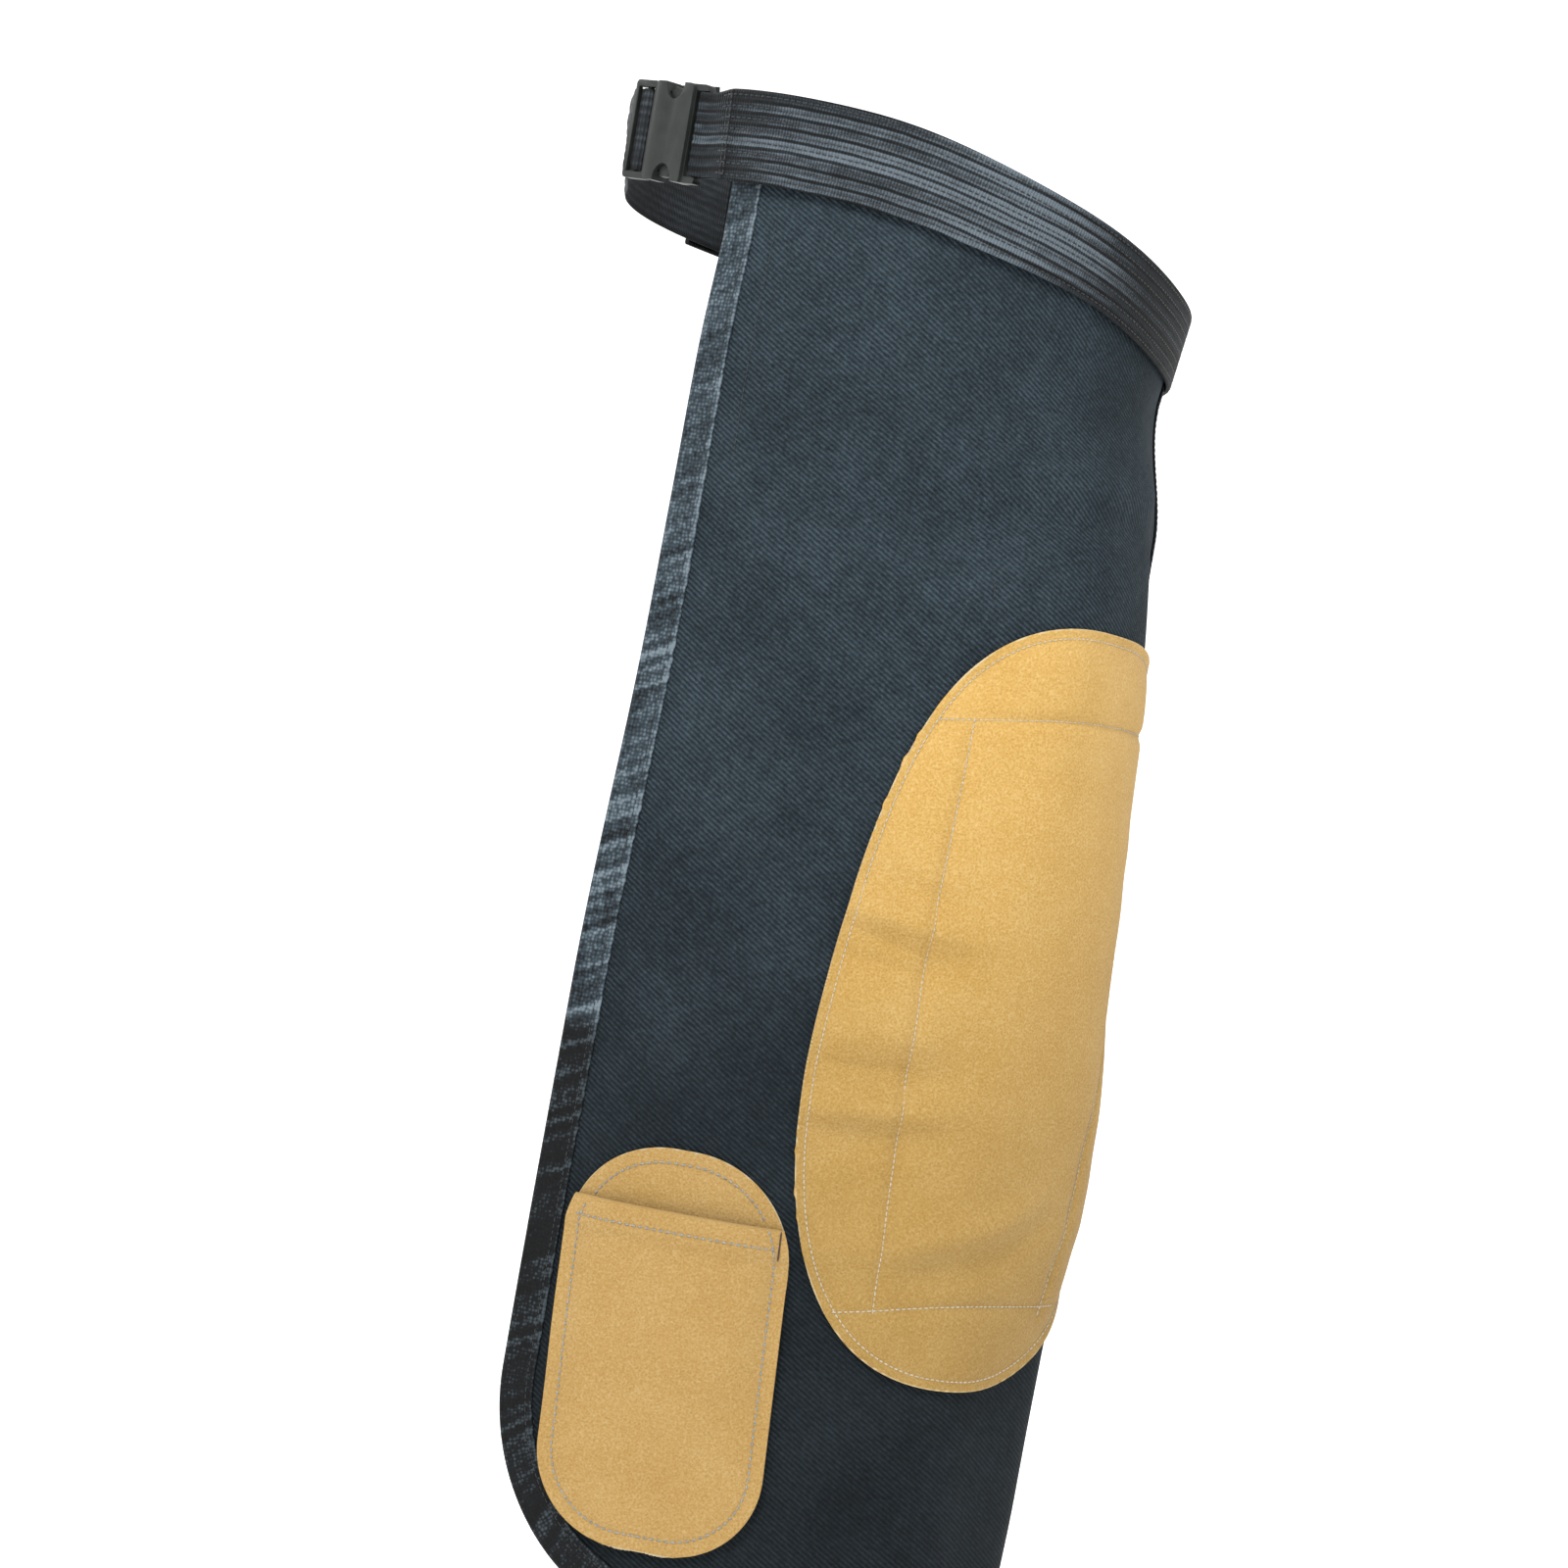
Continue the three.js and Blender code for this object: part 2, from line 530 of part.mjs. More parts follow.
/** Stations round a corner of the hem: turn is 1 for the outer corner and -1 for the inner. */
function cornerEdge(middle, radius, turn, n) {
  return steps(0, 90, n).map((angle) => {
    const [c, s] = [turn * Math.cos(radians(angle)), Math.sin(radians(angle))];
    return { at: [middle - radius * c, PANEL.hem + radius - radius * s], into: [c, s] };
  });
}

function edgeTapes(side) {
  const width = rowAt(PANEL.hem).length;
  const [big, small] = [PANEL.outerCorner, PANEL.innerCorner];
  const at = (share, level) => heightWhere(share, (p) => foldHeight(p, level));
  const underBand = heightWhere(0, (p) => beltHeight(p.y) - BAND.width / 2 - 2);
  const hem = steps(big, width - small, 14).slice(1, -1).map((along) => ({ at: [along, PANEL.hem], into: [0, 1] }));
  const leg = [
    ...outerEdge(at(0, FOLD.bottom + SEAM), PANEL.hem + big, 9).slice(0, -1),
    ...cornerEdge(big, big, 1, 6),
    ...hem,
    ...cornerEdge(width - small, small, -1, 5).reverse(),
    ...innerEdge(PANEL.hem + small, at(1, FOLD.bottom + SEAM) - 8, 12).slice(1),
  ];
  return [
    node(`${side}_edge_tape_hip`, edgeTape(outerEdge(underBand, at(0, FOLD.top - SEAM), 2)), "tape"),
    node(`${side}_edge_tape_fold`, edgeTape(outerEdge(at(0, FOLD.top), at(0, FOLD.bottom), 4)), "tape"),
    node(`${side}_edge_tape_leg`, edgeTape(leg), "tape"),
    node(`${side}_split_tape_fold`, edgeTape(innerEdge(at(1, FOLD.bottom) + 32, SPLIT.open - 5, 11)), "tape"),
  ];
}

/** The knee patch's half-width at a share of its half-height, fuller above than below. */
function patchHalfWidth(share) {
  const power = share > 0 ? 3.1 : 2.4;
  return PATCH.halfWidth * Math.max(0.05, (1 - Math.abs(share) ** power) ** (1 / power));
}

function kneePieces(side) {
  const [base, behind] = [PANEL.thick + 2.7 * LAYER, -2.3 * LAYER]; // clear of the facets of the panel
  const patch = steps(90, -90, 16).map((angle) => {
    const up = Math.sin(radians(angle));
    const z = PATCH.z + PATCH.halfHeight * up;
    const middle = PATCH.along + PATCH.lean * (z - PATCH.z);
    return steps(-1, 1, 14).map((across) => [middle + across * patchHalfWidth(up), z]);
  });
  const lining = steps(LINING.top, LINING.bottom, 14).map((z) => steps(LINING.from, LINING.to, 12).map((a) => [a, z]));
  return [
    node(`${side}_knee_patch`, sheet(patch, base, base + LEATHER), "leather"),
    node(`${side}_knee_lining`, sheet(lining, behind - LINING.thick, behind), "twill"),
  ];
}

/** The pocket's half-width at a distance below its top. */
function pocketHalfWidth(down) {
  const [top, bottom, up] = [POCKET.topRound, POCKET.bottomRound, POCKET.height - down];
  const round = (radius, d) => (d < radius ? radius - Math.sqrt(radius ** 2 - (radius - d) ** 2) : 0);
  return POCKET.width / 2 - round(top, down) - round(bottom, up);
}

/** Rows of [along, z] over the pocket, at distances below its top. */
function pocketGrid(downs, columns) {
  return downs.map((down) => {
    const z = POCKET.z + POCKET.height / 2 - down;
    const middle = POCKET.along - POCKET_LEAN * (z - POCKET.z);
    return steps(-1, 1, columns).map((across) => [middle + across * pocketHalfWidth(down), z]);
  });
}

function pocketPieces(side) {
  const foot = cornerSteps(POCKET.bottomRound, 4).map((d) => POCKET.height - d).reverse();
  const backing = [...cornerSteps(POCKET.topRound, 4), ...steps(POCKET.topRound, foot[0], 3).slice(1, -1), ...foot];
  const front = [...steps(POCKET_MOUTH, foot[0], 5).slice(0, -1), ...foot];
  const base = PANEL.thick + LAYER;
  const face = base + LEATHER + GAP;
  const columns = 8;
  // the front stands off the backing in the middle, most at its mouth
  const stand = (i, j) => {
    const across = 1 - Math.abs((2 * j) / columns - 1) ** 3;
    const down = 1 - ease(front[i], POCKET.height * 0.45, POCKET.height);
    return face + POCKET_BULGE * ease(across, 0, 0.9) * down;
  };
  return [
    node(`${side}_pocket_backing`, sheet(pocketGrid(backing, 6), base, base + LEATHER), "leather"),
    node(`${side}_pocket_front`, sheet(pocketGrid(front, columns), stand, (i, j) => stand(i, j) + LEATHER), "leather"),
  ];
}

// ---- Strap behind the leg ----
const LEG_BUCKLE_MIDDLE = [-92, 76];
const LEG_BUCKLE_TURN = 170; // degrees from +X to the socket's bar

function legBucklePlace() {
  const turn = radians(LEG_BUCKLE_TURN);
  const along = new THREE.Vector3(Math.cos(turn), Math.sin(turn), 0);
  return placeOf(new THREE.Vector3(...LEG_BUCKLE_MIDDLE, LEG_STRAP.z), along, new THREE.Vector3(0, 1, 0));
}

function legStrap(side) {
  const place = legBucklePlace();
  const size = LEG_BUCKLE_SIZE;
  const group = buckle(`${side}_leg`, place, size);
  const { thick, z } = LEG_STRAP;
  const width = () => LEG_STRAP.width;
  const inside = -LAYER - TAPE.thick - LAYER - thick / 2;
  const length = rowAt(z).length;
  const vertical = () => new THREE.Vector3(0, 0, 1);
  const toWorld = ([x, out]) => fromPlace(place, x, 0, out);
  const bar = roundTheBar(thick, size).map(toWorld);
  // from the socket's bar to the outer edge, then forwards along the inside of the panel
  const outer = [
    new THREE.Vector3(-132, 84, z),
    onPanel(3, z, inside - 4),
    onPanel(12, z, inside - 0.4),
    ...steps(20, 56, 2).map((along) => onPanel(along, z, inside)),
  ];
  // from the inner edge, round the back of the leg, to the plug's ladder
  const inner = [
    ...steps(length - 46, length - 4, 3).map((along) => onPanel(along, z, inside)),
    new THREE.Vector3(-23, -22, z),
    new THREE.Vector3(-26, 18, z),
    new THREE.Vector3(-39, 50, z),
  ];
  const loop = smoothPath(roundTheBar(thick, size).map(toWorld).reverse(), LOOP_STEP);
  const ladder = smoothPath(throughTheLadder(thick, size).map(toWorld), LOOP_STEP);
  const outerPath = [...loop, ...smoothPath([loop.at(-1), ...outer], 9).slice(1)];
  const innerPath = [...smoothPath([...inner, ladder[0]], 9).slice(0, -1), ...ladder];
  return [
    group,
    node(`${side}_leg_strap_outer`, strap(outerPath, vertical, width, thick), "band"),
    node(`${side}_leg_strap_inner`, strap(innerPath, vertical, width, thick), "band"),
  ];
}

function leg(side) {
  const group = new THREE.Group();
  group.add(...legPanels(side), ...edgeTapes(side), ...kneePieces(side), ...pocketPieces(side), ...legStrap(side));
  return group;
}

// ---- The apron ----
const apron = new THREE.Group();
const left = leg("left");
left.scale.x = -1;
apron.add(...belt(), leg("right"), left);

export default apron;
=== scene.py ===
"""A split-leg work apron in its worn shape, dressed in twill, split leather and webbing.

Lengths are in metres, or in millimetres where that is said, in the apron's own frame: +Z up,
the wearer faces -Y, and the wearer's right is -X. The cloth lies on one surface, which
PanelSurface gives by the distance along a leg panel from its outer back edge and by the
height. The right half is worked out, and the left half is its mirror image with wrinkles of
its own.
"""

import logging
import math
from dataclasses import dataclass, field, replace
from enum import Enum
from typing import Any, Callable, Sequence

import bpy
import numpy as np
from mathutils import Matrix, Vector


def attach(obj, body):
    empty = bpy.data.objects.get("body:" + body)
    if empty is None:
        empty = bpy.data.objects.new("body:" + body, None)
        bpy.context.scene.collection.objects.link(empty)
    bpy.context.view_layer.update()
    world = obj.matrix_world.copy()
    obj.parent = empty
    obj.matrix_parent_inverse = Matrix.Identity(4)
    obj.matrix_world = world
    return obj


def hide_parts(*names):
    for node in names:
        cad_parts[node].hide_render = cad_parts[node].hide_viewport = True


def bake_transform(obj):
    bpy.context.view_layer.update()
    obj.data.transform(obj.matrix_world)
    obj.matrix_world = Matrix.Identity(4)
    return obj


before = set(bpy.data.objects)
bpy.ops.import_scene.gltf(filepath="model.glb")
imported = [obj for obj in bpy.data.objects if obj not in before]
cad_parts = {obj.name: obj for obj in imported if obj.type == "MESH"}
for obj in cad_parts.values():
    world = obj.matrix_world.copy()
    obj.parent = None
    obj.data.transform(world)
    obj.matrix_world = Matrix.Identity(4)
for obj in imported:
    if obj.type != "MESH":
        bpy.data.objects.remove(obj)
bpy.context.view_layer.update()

MM = 0.001
UP = np.array([0.0, 0.0, 1.0])
# The leg panels' cloth, which everything sewn to them lies on.
PANEL_THICK = 0.0016
# How far to each side of a place a surface's slope is felt.
PROBE = 0.0025
# A wave texture's scale times the distance between its bands.
WAVE_STEP = 0.31416
LOG = logging.getLogger("apron")

Array = np.ndarray


class Side(Enum):
    """Which of the wearer's legs a piece belongs to. The value is the sign of its x."""

    RIGHT = -1
    LEFT = 1

    @property
    def word(self) -> str:
        """The side's name in lower case."""
        return self.name.lower()


# ---------------------------------------------------------------- numbers and curves


def mix(a: Any, b: Any, share: Any) -> Any:
    """The value a share of the way from a to b."""
    return a + (b - a) * share


def ease(value: Any, start: float, end: float) -> Any:
    """0 at start and 1 at end, turning smoothly at both."""
    t = np.clip((np.asarray(value, float) - start) / (end - start), 0.0, 1.0)
    return t * t * (3 - 2 * t)


def unit(vectors: Array) -> Array:
    """The vectors at length 1."""
    return vectors / np.maximum(np.linalg.norm(vectors, axis=-1, keepdims=True), 1e-12)


def profile(pairs: Sequence[tuple[float, float]], z: float) -> float:
    """The value at a height on a smooth line.

    Args:
        pairs: (height, value) in millimetres, from the top down.
        z: the height in millimetres.

    Returns:
        The value in millimetres.
    """
    if z >= pairs[0][0]:
        return pairs[0][1]
    if z <= pairs[-1][0]:
        return pairs[-1][1]
    heights, values = zip(*pairs)
    i = next(k for k, height in enumerate(heights) if z >= height)
    last = len(pairs) - 1

    def slope(k: int) -> float:
        """The line's slope at pair k."""
        a, b = max(0, k - 1), min(last, k + 1)
        return (values[b] - values[a]) / (heights[b] - heights[a])

    span = heights[i] - heights[i - 1]
    t = (z - heights[i - 1]) / span
    rise = t * t * (3 - 2 * t)
    bend = (1 - t) * slope(i - 1) - t * slope(i)
    return mix(values[i - 1], values[i], rise) + span * t * (1 - t) * bend


def centripetal(knots: Array, count: int) -> Array:
    """Points on the centripetal Catmull-Rom curve through the knots.

    Args:
        knots: the points that the curve passes through, as rows.
        count: how many pieces the whole curve is cut into.

    Returns:
        count + 1 points, evenly spaced in the curve's own parameter.
    """
    n = len(knots)
    ends = np.vstack([2 * knots[0] - knots[1], knots, 2 * knots[-1] - knots[-2]])
    made = []
    for step in range(count + 1):
        p = (n - 1) * step / count
        i = min(int(p), n - 2)
        t = p - i
        p0, p1, p2, p3 = ends[i : i + 4]
        d0, d1, d2 = (math.sqrt(np.linalg.norm(b - a)) or 1.0 for a, b in ((p0, p1), (p1, p2), (p2, p3)))
        t1 = ((p1 - p0) / d0 - (p2 - p0) / (d0 + d1) + (p2 - p1) / d1) * d1
        t2 = ((p2 - p1) / d1 - (p3 - p1) / (d1 + d2) + (p3 - p2) / d2) * d1
        made.append(p1 + t1 * t + (3 * (p2 - p1) - 2 * t1 - t2) * t**2 + (2 * (p1 - p2) + t1 + t2) * t**3)
    return np.array(made)


def lengths_along(points: Array) -> Array:
    """The distance along a line of points to each of them."""
    return np.concatenate([[0.0], np.cumsum(np.linalg.norm(np.diff(points, axis=0), axis=1))])


def at_lengths(wanted: Array, along: Array, rows: Array) -> Array:
    """The rows at the wanted distances, where along is the distance to each row."""
    return np.stack([np.interp(wanted, along, rows[:, k]) for k in range(rows.shape[1])], 1)


def even_path(points: Array, step: float) -> Array:
    """Points about step apart on the smooth curve through the given ones.

    Args:
        points: the curve's own points.
        step: the wanted distance between the new points.

    Returns:
        The new points.
    """
    fine = centripetal(np.asarray(points, float), 24 * len(points))
    along = lengths_along(fine)
    wanted = np.linspace(0, along[-1], max(2, math.ceil(along[-1] / step) + 1))
    return at_lengths(wanted, along, fine)


# ---------------------------------------------------------------- the belt's ring


@dataclass(frozen=True)
class BeltRing:
    """The ring that the waistband makes round the wearer, an ellipse that dips to the front."""

    half_width: float = 0.165
    half_depth: float = 0.147
    side_height: float = -0.0008
    rise: float = 0.027
    drop: float = 0.0145
    lean: float = 0.13

    def height(self, y: Any) -> Any:
        """The height of the belt's middle line at a depth y."""
        t = y / self.half_depth
        return self.side_height + self.rise * t - self.drop * t**2

    def lean_at(self, y: Any) -> Any:
        """How far the belt's upper edge leans towards -Y at a depth y, as a slope."""
        return -self.lean * y / self.half_depth

    def point(self, angle: float, out: float) -> Array:
        """A point on the belt.

        Args:
            angle: degrees from the right side, positive towards the back.
            out: the distance outwards from the ellipse.

        Returns:
            The point.
        """
        c, s = math.cos(math.radians(angle)), math.sin(math.radians(angle))
        normal = unit(np.array([-c / self.half_width, s / self.half_depth, 0.0]))
        spot = np.array([-self.half_width * c, self.half_depth * s, 0.0]) + out * normal
        spot[2] = self.height(spot[1])
        return spot

    def up(self, spot: Array) -> Array:
        """The direction of the belt's width at a point."""
        return unit(np.array([0.0, -self.lean_at(spot[1]), 1.0]))


@dataclass(frozen=True)
class Place:
    """Where a buckle sits: its middle and its own axes, x towards the socket's bar, y across
    the strap and z outwards."""

    origin: Array
    x: Array
    y: Array
    z: Array

    @classmethod
    def facing(cls, origin: Array, along: Array, outwards: Array) -> "Place":
        """A place from a buckle's middle, its strap's direction and the way it faces."""
        x = unit(along)
        y = unit(np.cross(outwards, x))
        return cls(origin, x, y, np.cross(x, y))

    def at(self, x: float, y: float, z: float) -> Array:
        """The point at three distances along the place's own axes."""
        return self.origin + x * self.x + y * self.y + z * self.z

    def curve(self, spots: Sequence[tuple[float, float]]) -> list[Array]:
        """The points over a buckle's middle line at distances [x, z]."""
        return [self.at(x, 0.0, z) for x, z in spots]


BELT = BeltRing()

# ---------------------------------------------------------------- the surface of a leg panel


@dataclass(frozen=True)
class Crease:
    """A soft fold in the cloth: a ridge, or a valley if its height is negative.

    along and z are its middle, and turn is its direction in degrees from level. half_length
    and half_width are its reach along and across, and all of these lengths are in millimetres.
    """

    along: float
    z: float
    turn: float
    half_length: float
    half_width: float
    height: float

    def lift(self, along: Array, z: Array) -> Array:
        """How far the fold lifts the cloth at each place, in metres."""
        c, s = math.cos(math.radians(self.turn)), math.sin(math.radians(self.turn))
        a, b = along / MM - self.along, z / MM - self.z
        lengthwise = (a * c + b * s) / self.half_length
        across = (b * c - a * s) / self.half_width
        return self.height * MM * np.exp(-(across**2)) * (1 - ease(np.abs(lengthwise), 0.25, 1.0))


RIGHT_CREASES = (
    Crease(205, -128, 4, 150, 11, 2.2),
    Crease(210, -150, 8, 140, 10, -2.6),
    Crease(120, -190, -8, 130, 15, 2.4),
    Crease(150, -232, -14, 120, 14, -2.7),
    Crease(60, -300, 76, 120, 16, 1.6),
    Crease(96, -330, 82, 130, 15, -1.7),
    Crease(40, -120, 80, 100, 14, 1.3),
    Crease(130, -560, 70, 130, 17, -2.2),
    Crease(158, -600, 78, 110, 18, 1.8),
    Crease(250, -620, 88, 100, 22, -2.4),
    Crease(290, -600, 92, 110, 20, 2.2),
    Crease(146, -352, -4, 46, 10, 1.5),
    Crease(140, -378, -10, 50, 9, -1.6),
    Crease(150, -402, -6, 55, 10, 1.5),
    Crease(143, -428, 5, 52, 9, -1.4),
    Crease(165, -506, 24, 62, 9, 2.2),
    Crease(172, -522, 26, 60, 8, -1.8),
    Crease(260, -455, 3, 70, 15, -1.2),
    Crease(255, -330, -5, 70, 17, 1.0),
)


@dataclass
class PanelSurface:
    """The surface that a leg panel and all that is sewn to it lie on.

    The plan outline of the panel turns from the hip's ellipse above to the shape round the
    leg below. It is worked out once on a table of heights and shares of the panel's width.
    The outline, the profiles, the heights of the turns and of the lean's fade, the slit and
    the creases are in millimetres, and the rest is in metres.
    """

    side: Side
    hem: float = -0.707
    outer_corner: float = 0.108
    inner_corner: float = 0.060
    hip_flare: float = 0.045
    hip_angles: tuple[float, ...] = (37, 14, -12, -38, -62, -77, -90)
    leg_outline: tuple[tuple[float, float], ...] = (
        (-150, 99), (-167, 45), (-172, -25), (-158, -112), (-95, -165), (-33, -112), (-18, -55),
    )
    back_profile: tuple[tuple[float, float], ...] = (
        (-40, 86.5), (-90, 89), (-168, 89.5), (-264, 91), (-407, 96), (-707, 97),
    )
    front_profile: tuple[tuple[float, float], ...] = (
        (-150, -152), (-240, -153), (-366, -160), (-462, -166), (-560, -158), (-707, -157),
    )
    outer_turn: tuple[float, float] = (-60, -230)
    inner_turn: tuple[float, float] = (-232, -370)
    lean_fades: tuple[float, float] = (-75, -140)
    slit: tuple[float, float, float] = (-200, -236, 3.2)
    creases: tuple[Crease, ...] = RIGHT_CREASES
    levels: Array = field(init=False)
    table: Array = field(init=False)
    widths: Array = field(init=False)

    # The table's columns, its levels and the heights that it spans.
    SHARES = 240
    LEVELS = 201
    TABLE_SPAN = (-0.745, 0.055)
    # In millimetres: how far the left leg's creases are moved, half the gap between the panels
    # above the slit, and how far below the belt's middle the belt's lean is followed.
    LEFT_SHIFT = (9, -17)
    SEAM_GAP = 0.15
    BELT_EDGE = -27.5
    # The outline's knot that lies straight in front of the leg.
    FRONT_KNOT = 4
    # The cloth's soft waves: their size along and down, and the heights of the long and short ones.
    SWELL_SIZE = (0.055, 0.083)
    SWELL = 0.0007
    FINE_SWELL = 0.0003

    def __post_init__(self) -> None:
        """Fills the table of outline points, and moves the creases for the left."""
        self.levels = np.linspace(*self.TABLE_SPAN, self.LEVELS)
        rows = [centripetal(self._knots(z / MM), 96) * MM for z in self.levels]
        self.widths = np.array([lengths_along(row)[-1] for row in rows])
        shares = np.linspace(0, 1, self.SHARES + 1)
        self.table = np.array([self._spaced(row, shares) for row in rows])
        if self.side is Side.LEFT:
            self.creases = tuple(self._moved(crease) for crease in self.creases)

    def _moved(self, crease: Crease) -> Crease:
        """The left leg's crease: a little lower and further round, and turned the other way."""
        along, z = self.LEFT_SHIFT
        turn = -crease.turn if abs(crease.turn) < 45 else crease.turn
        return replace(crease, along=crease.along + along, z=crease.z + z, turn=turn)

    @staticmethod
    def _spaced(row: Array, shares: Array) -> Array:
        """The row's points at even shares of its length."""
        along = lengths_along(row)
        return at_lengths(shares * along[-1], along, row)

    def _knots(self, z: float) -> Array:
        """The plan outline's knots at a height.

        Args:
            z: the height in millimetres.

        Returns:
            The knots as [x, y] rows in millimetres, from the outer back edge to the inner one.
        """
        gap = -mix(self.SEAM_GAP, self.slit[2], float(ease(z, self.slit[0], self.slit[1])))
        knots = []
        for i, angle in enumerate(self.hip_angles):
            c, s = math.cos(math.radians(angle)), math.sin(math.radians(angle))
            hip_x, hip_y = -BELT.half_width / MM * c, BELT.half_depth / MM * s
            below = max(z - BELT.height(hip_y * MM) / MM, self.BELT_EDGE)
            leaning = hip_y - BELT.lean_at(hip_y * MM) * below
            hip_y = mix(leaning, hip_y * (1 + self.hip_flare), float(ease(z, *self.lean_fades)))
            leg_x, leg_y = self.leg_outline[i]
            if i == self.FRONT_KNOT:
                leg_y = profile(self.front_profile, z)
            turn = self.inner_turn if i > self.FRONT_KNOT else self.outer_turn
            share = float(ease(z, *turn))
            y = profile(self.back_profile, z) if i == 0 else mix(hip_y, leg_y, share)
            knots.append([min(gap, mix(hip_x, leg_x, share)), y])
        return np.array(knots)

    def width(self, z: Any) -> Any:
        """The panel's width, measured round the leg, at each height."""
        return np.interp(z, self.levels, self.widths)

    def base(self, along: Array, z: Array) -> Array:
        """The smooth surface's points, before wrinkles, on the right side."""
        along, z = np.broadcast_arrays(np.asarray(along, float), np.asarray(z, float))
        s = along / self.width(z) * self.SHARES
        i = np.clip(s.astype(int), 0, self.SHARES - 1)
        u = (s - i)[..., None]
        v = (z - self.levels[0]) / (self.levels[1] - self.levels[0])
        j = np.clip(v.astype(int), 0, len(self.levels) - 2)
        v = (v - j)[..., None]
        low = mix(self.table[j, i], self.table[j, i + 1], u)
        high = mix(self.table[j + 1, i], self.table[j + 1, i + 1], u)
        return np.concatenate([mix(low, high, v), z[..., None]], -1)

    def wrinkle(self, along: Array, z: Array) -> Array:
        """How far the cloth lies out from the smooth surface. It is held still under the belt."""
        phase = 0.0 if self.side is Side.RIGHT else 2.1
        lift = sum(crease.lift(along, z) for crease in self.creases)
        a, b = along / self.SWELL_SIZE[0], z / self.SWELL_SIZE[1]
        roll = np.sin(a + 0.6 * np.sin(b * 1.7 + phase) + phase)
        lift = lift + self.SWELL * roll * np.cos(b - 0.5 * a + phase)
        lift = lift + self.FINE_SWELL * np.sin(2.7 * a - 1.9 * b + phase)
        return lift * (1 - ease(z - BELT.height(self.base(along, z)[..., 1]), -0.05, -0.02))

    def point(self, along: Any, z: Any, out: Any = 0.0) -> Array:
        """Points on or over the panel.

        Args:
            along: the distance round the panel from its outer back edge.
            z: the height.
            out: the distance outwards from the panel's inner face.

        Returns:
            The points, on this surface's own side of the wearer.
        """
        along, z = np.broadcast_arrays(np.asarray(along, float), np.asarray(z, float))
        return self._placed(along, z, out)[0]

    def normal(self, along: Any, z: Any) -> Array:
        """The outward normals at places on the panel, on this surface's own side."""
        along, z = np.broadcast_arrays(np.asarray(along, float), np.asarray(z, float))
        return self._placed(along, z, 0.0)[1]

    def _placed(self, along: Array, z: Array, out: Any) -> tuple[Array, Array]:
        """The points at a distance out, and the outward normals."""
        across = self.base(along + PROBE, z) - self.base(along - PROBE, z)
        upwards = self.base(along, z + PROBE) - self.base(along, z - PROBE)
        normal = unit(np.cross(across, upwards))
        spot = self.base(along, z) + normal * (self.wrinkle(along, z) + out)[..., None]
        flip = np.array([-self.side.value, 1.0, 1.0])
        return spot * flip, normal * flip

    def height_where(self, share: Array, level: Callable[[Array], Array]) -> Array:
        """The heights at which columns at shares of the panel's width meet a level."""
        z = np.full(np.shape(share), -0.15)
        for _ in range(12):
            z = level(self.base(share * self.width(z), z))
        return z

    def hem_rise(self, along: Array, width: float) -> Array:
        """The height of the hem's round corners above the bottom edge."""
        rise = np.zeros_like(along)
        for radius, d in ((self.outer_corner, along), (self.inner_corner, width - along)):
            inside = np.clip(radius - d, 0, radius)
            rise = rise + radius - np.sqrt(radius**2 - inside**2)
        return rise


# ---------------------------------------------------------------- mesh work


def deselect() -> None:
    """Deselects every object."""
    for thing in bpy.context.selected_objects:
        thing.select_set(False)


def take_up(piece: bpy.types.Object) -> None:
    """Selects one piece alone and makes it the active one."""
    deselect()
    piece.select_set(True)
    bpy.context.view_layer.objects.active = piece


def named(piece: bpy.types.Object, name: str) -> bpy.types.Object:
    """Gives a piece and its mesh the same name."""
    piece.name = piece.data.name = name
    return piece


def with_modifier(piece: bpy.types.Object, kind: str, **settings: Any) -> bpy.types.Object:
    """Adds a modifier to a piece and applies it.

    Args:
        piece: the piece.
        kind: the modifier's type.
        settings: the modifier's own settings.

    Returns:
        The piece.
    """
    take_up(piece)
    modifier = piece.modifiers.new(kind, kind)
    for key, value in settings.items():
        setattr(modifier, key, value)
    bpy.ops.object.modifier_apply(modifier=modifier.name)
    return piece


def outward_again(piece: bpy.types.Object) -> bpy.types.Object:
    """Recalculates a closed piece's normals to face outwards."""
    take_up(piece)
    bpy.ops.object.mode_set(mode="EDIT")
    bpy.ops.mesh.select_all(action="SELECT")
    bpy.ops.mesh.normals_make_consistent(inside=False)
    bpy.ops.object.mode_set(mode="OBJECT")
    return piece


def smooth(piece: bpy.types.Object, angle: float = 40.0) -> bpy.types.Object:
    """Shades a piece smooth except over edges sharper than the angle in degrees."""
    take_up(piece)
    bpy.ops.object.shade_smooth_by_angle(angle=math.radians(angle))
    return piece


def vertices_of(piece: bpy.types.Object) -> Array:
    """A piece's vertices as rows."""
    flat = np.empty(3 * len(piece.data.vertices), np.float32)
    piece.data.vertices.foreach_get("co", flat)
    return flat.reshape(-1, 3).astype(float)


def set_vertices(piece: bpy.types.Object, points: Array) -> None:
    """Moves a piece's vertices to the points."""
    piece.data.vertices.foreach_set("co", np.asarray(points, np.float32).ravel())
    piece.data.update()


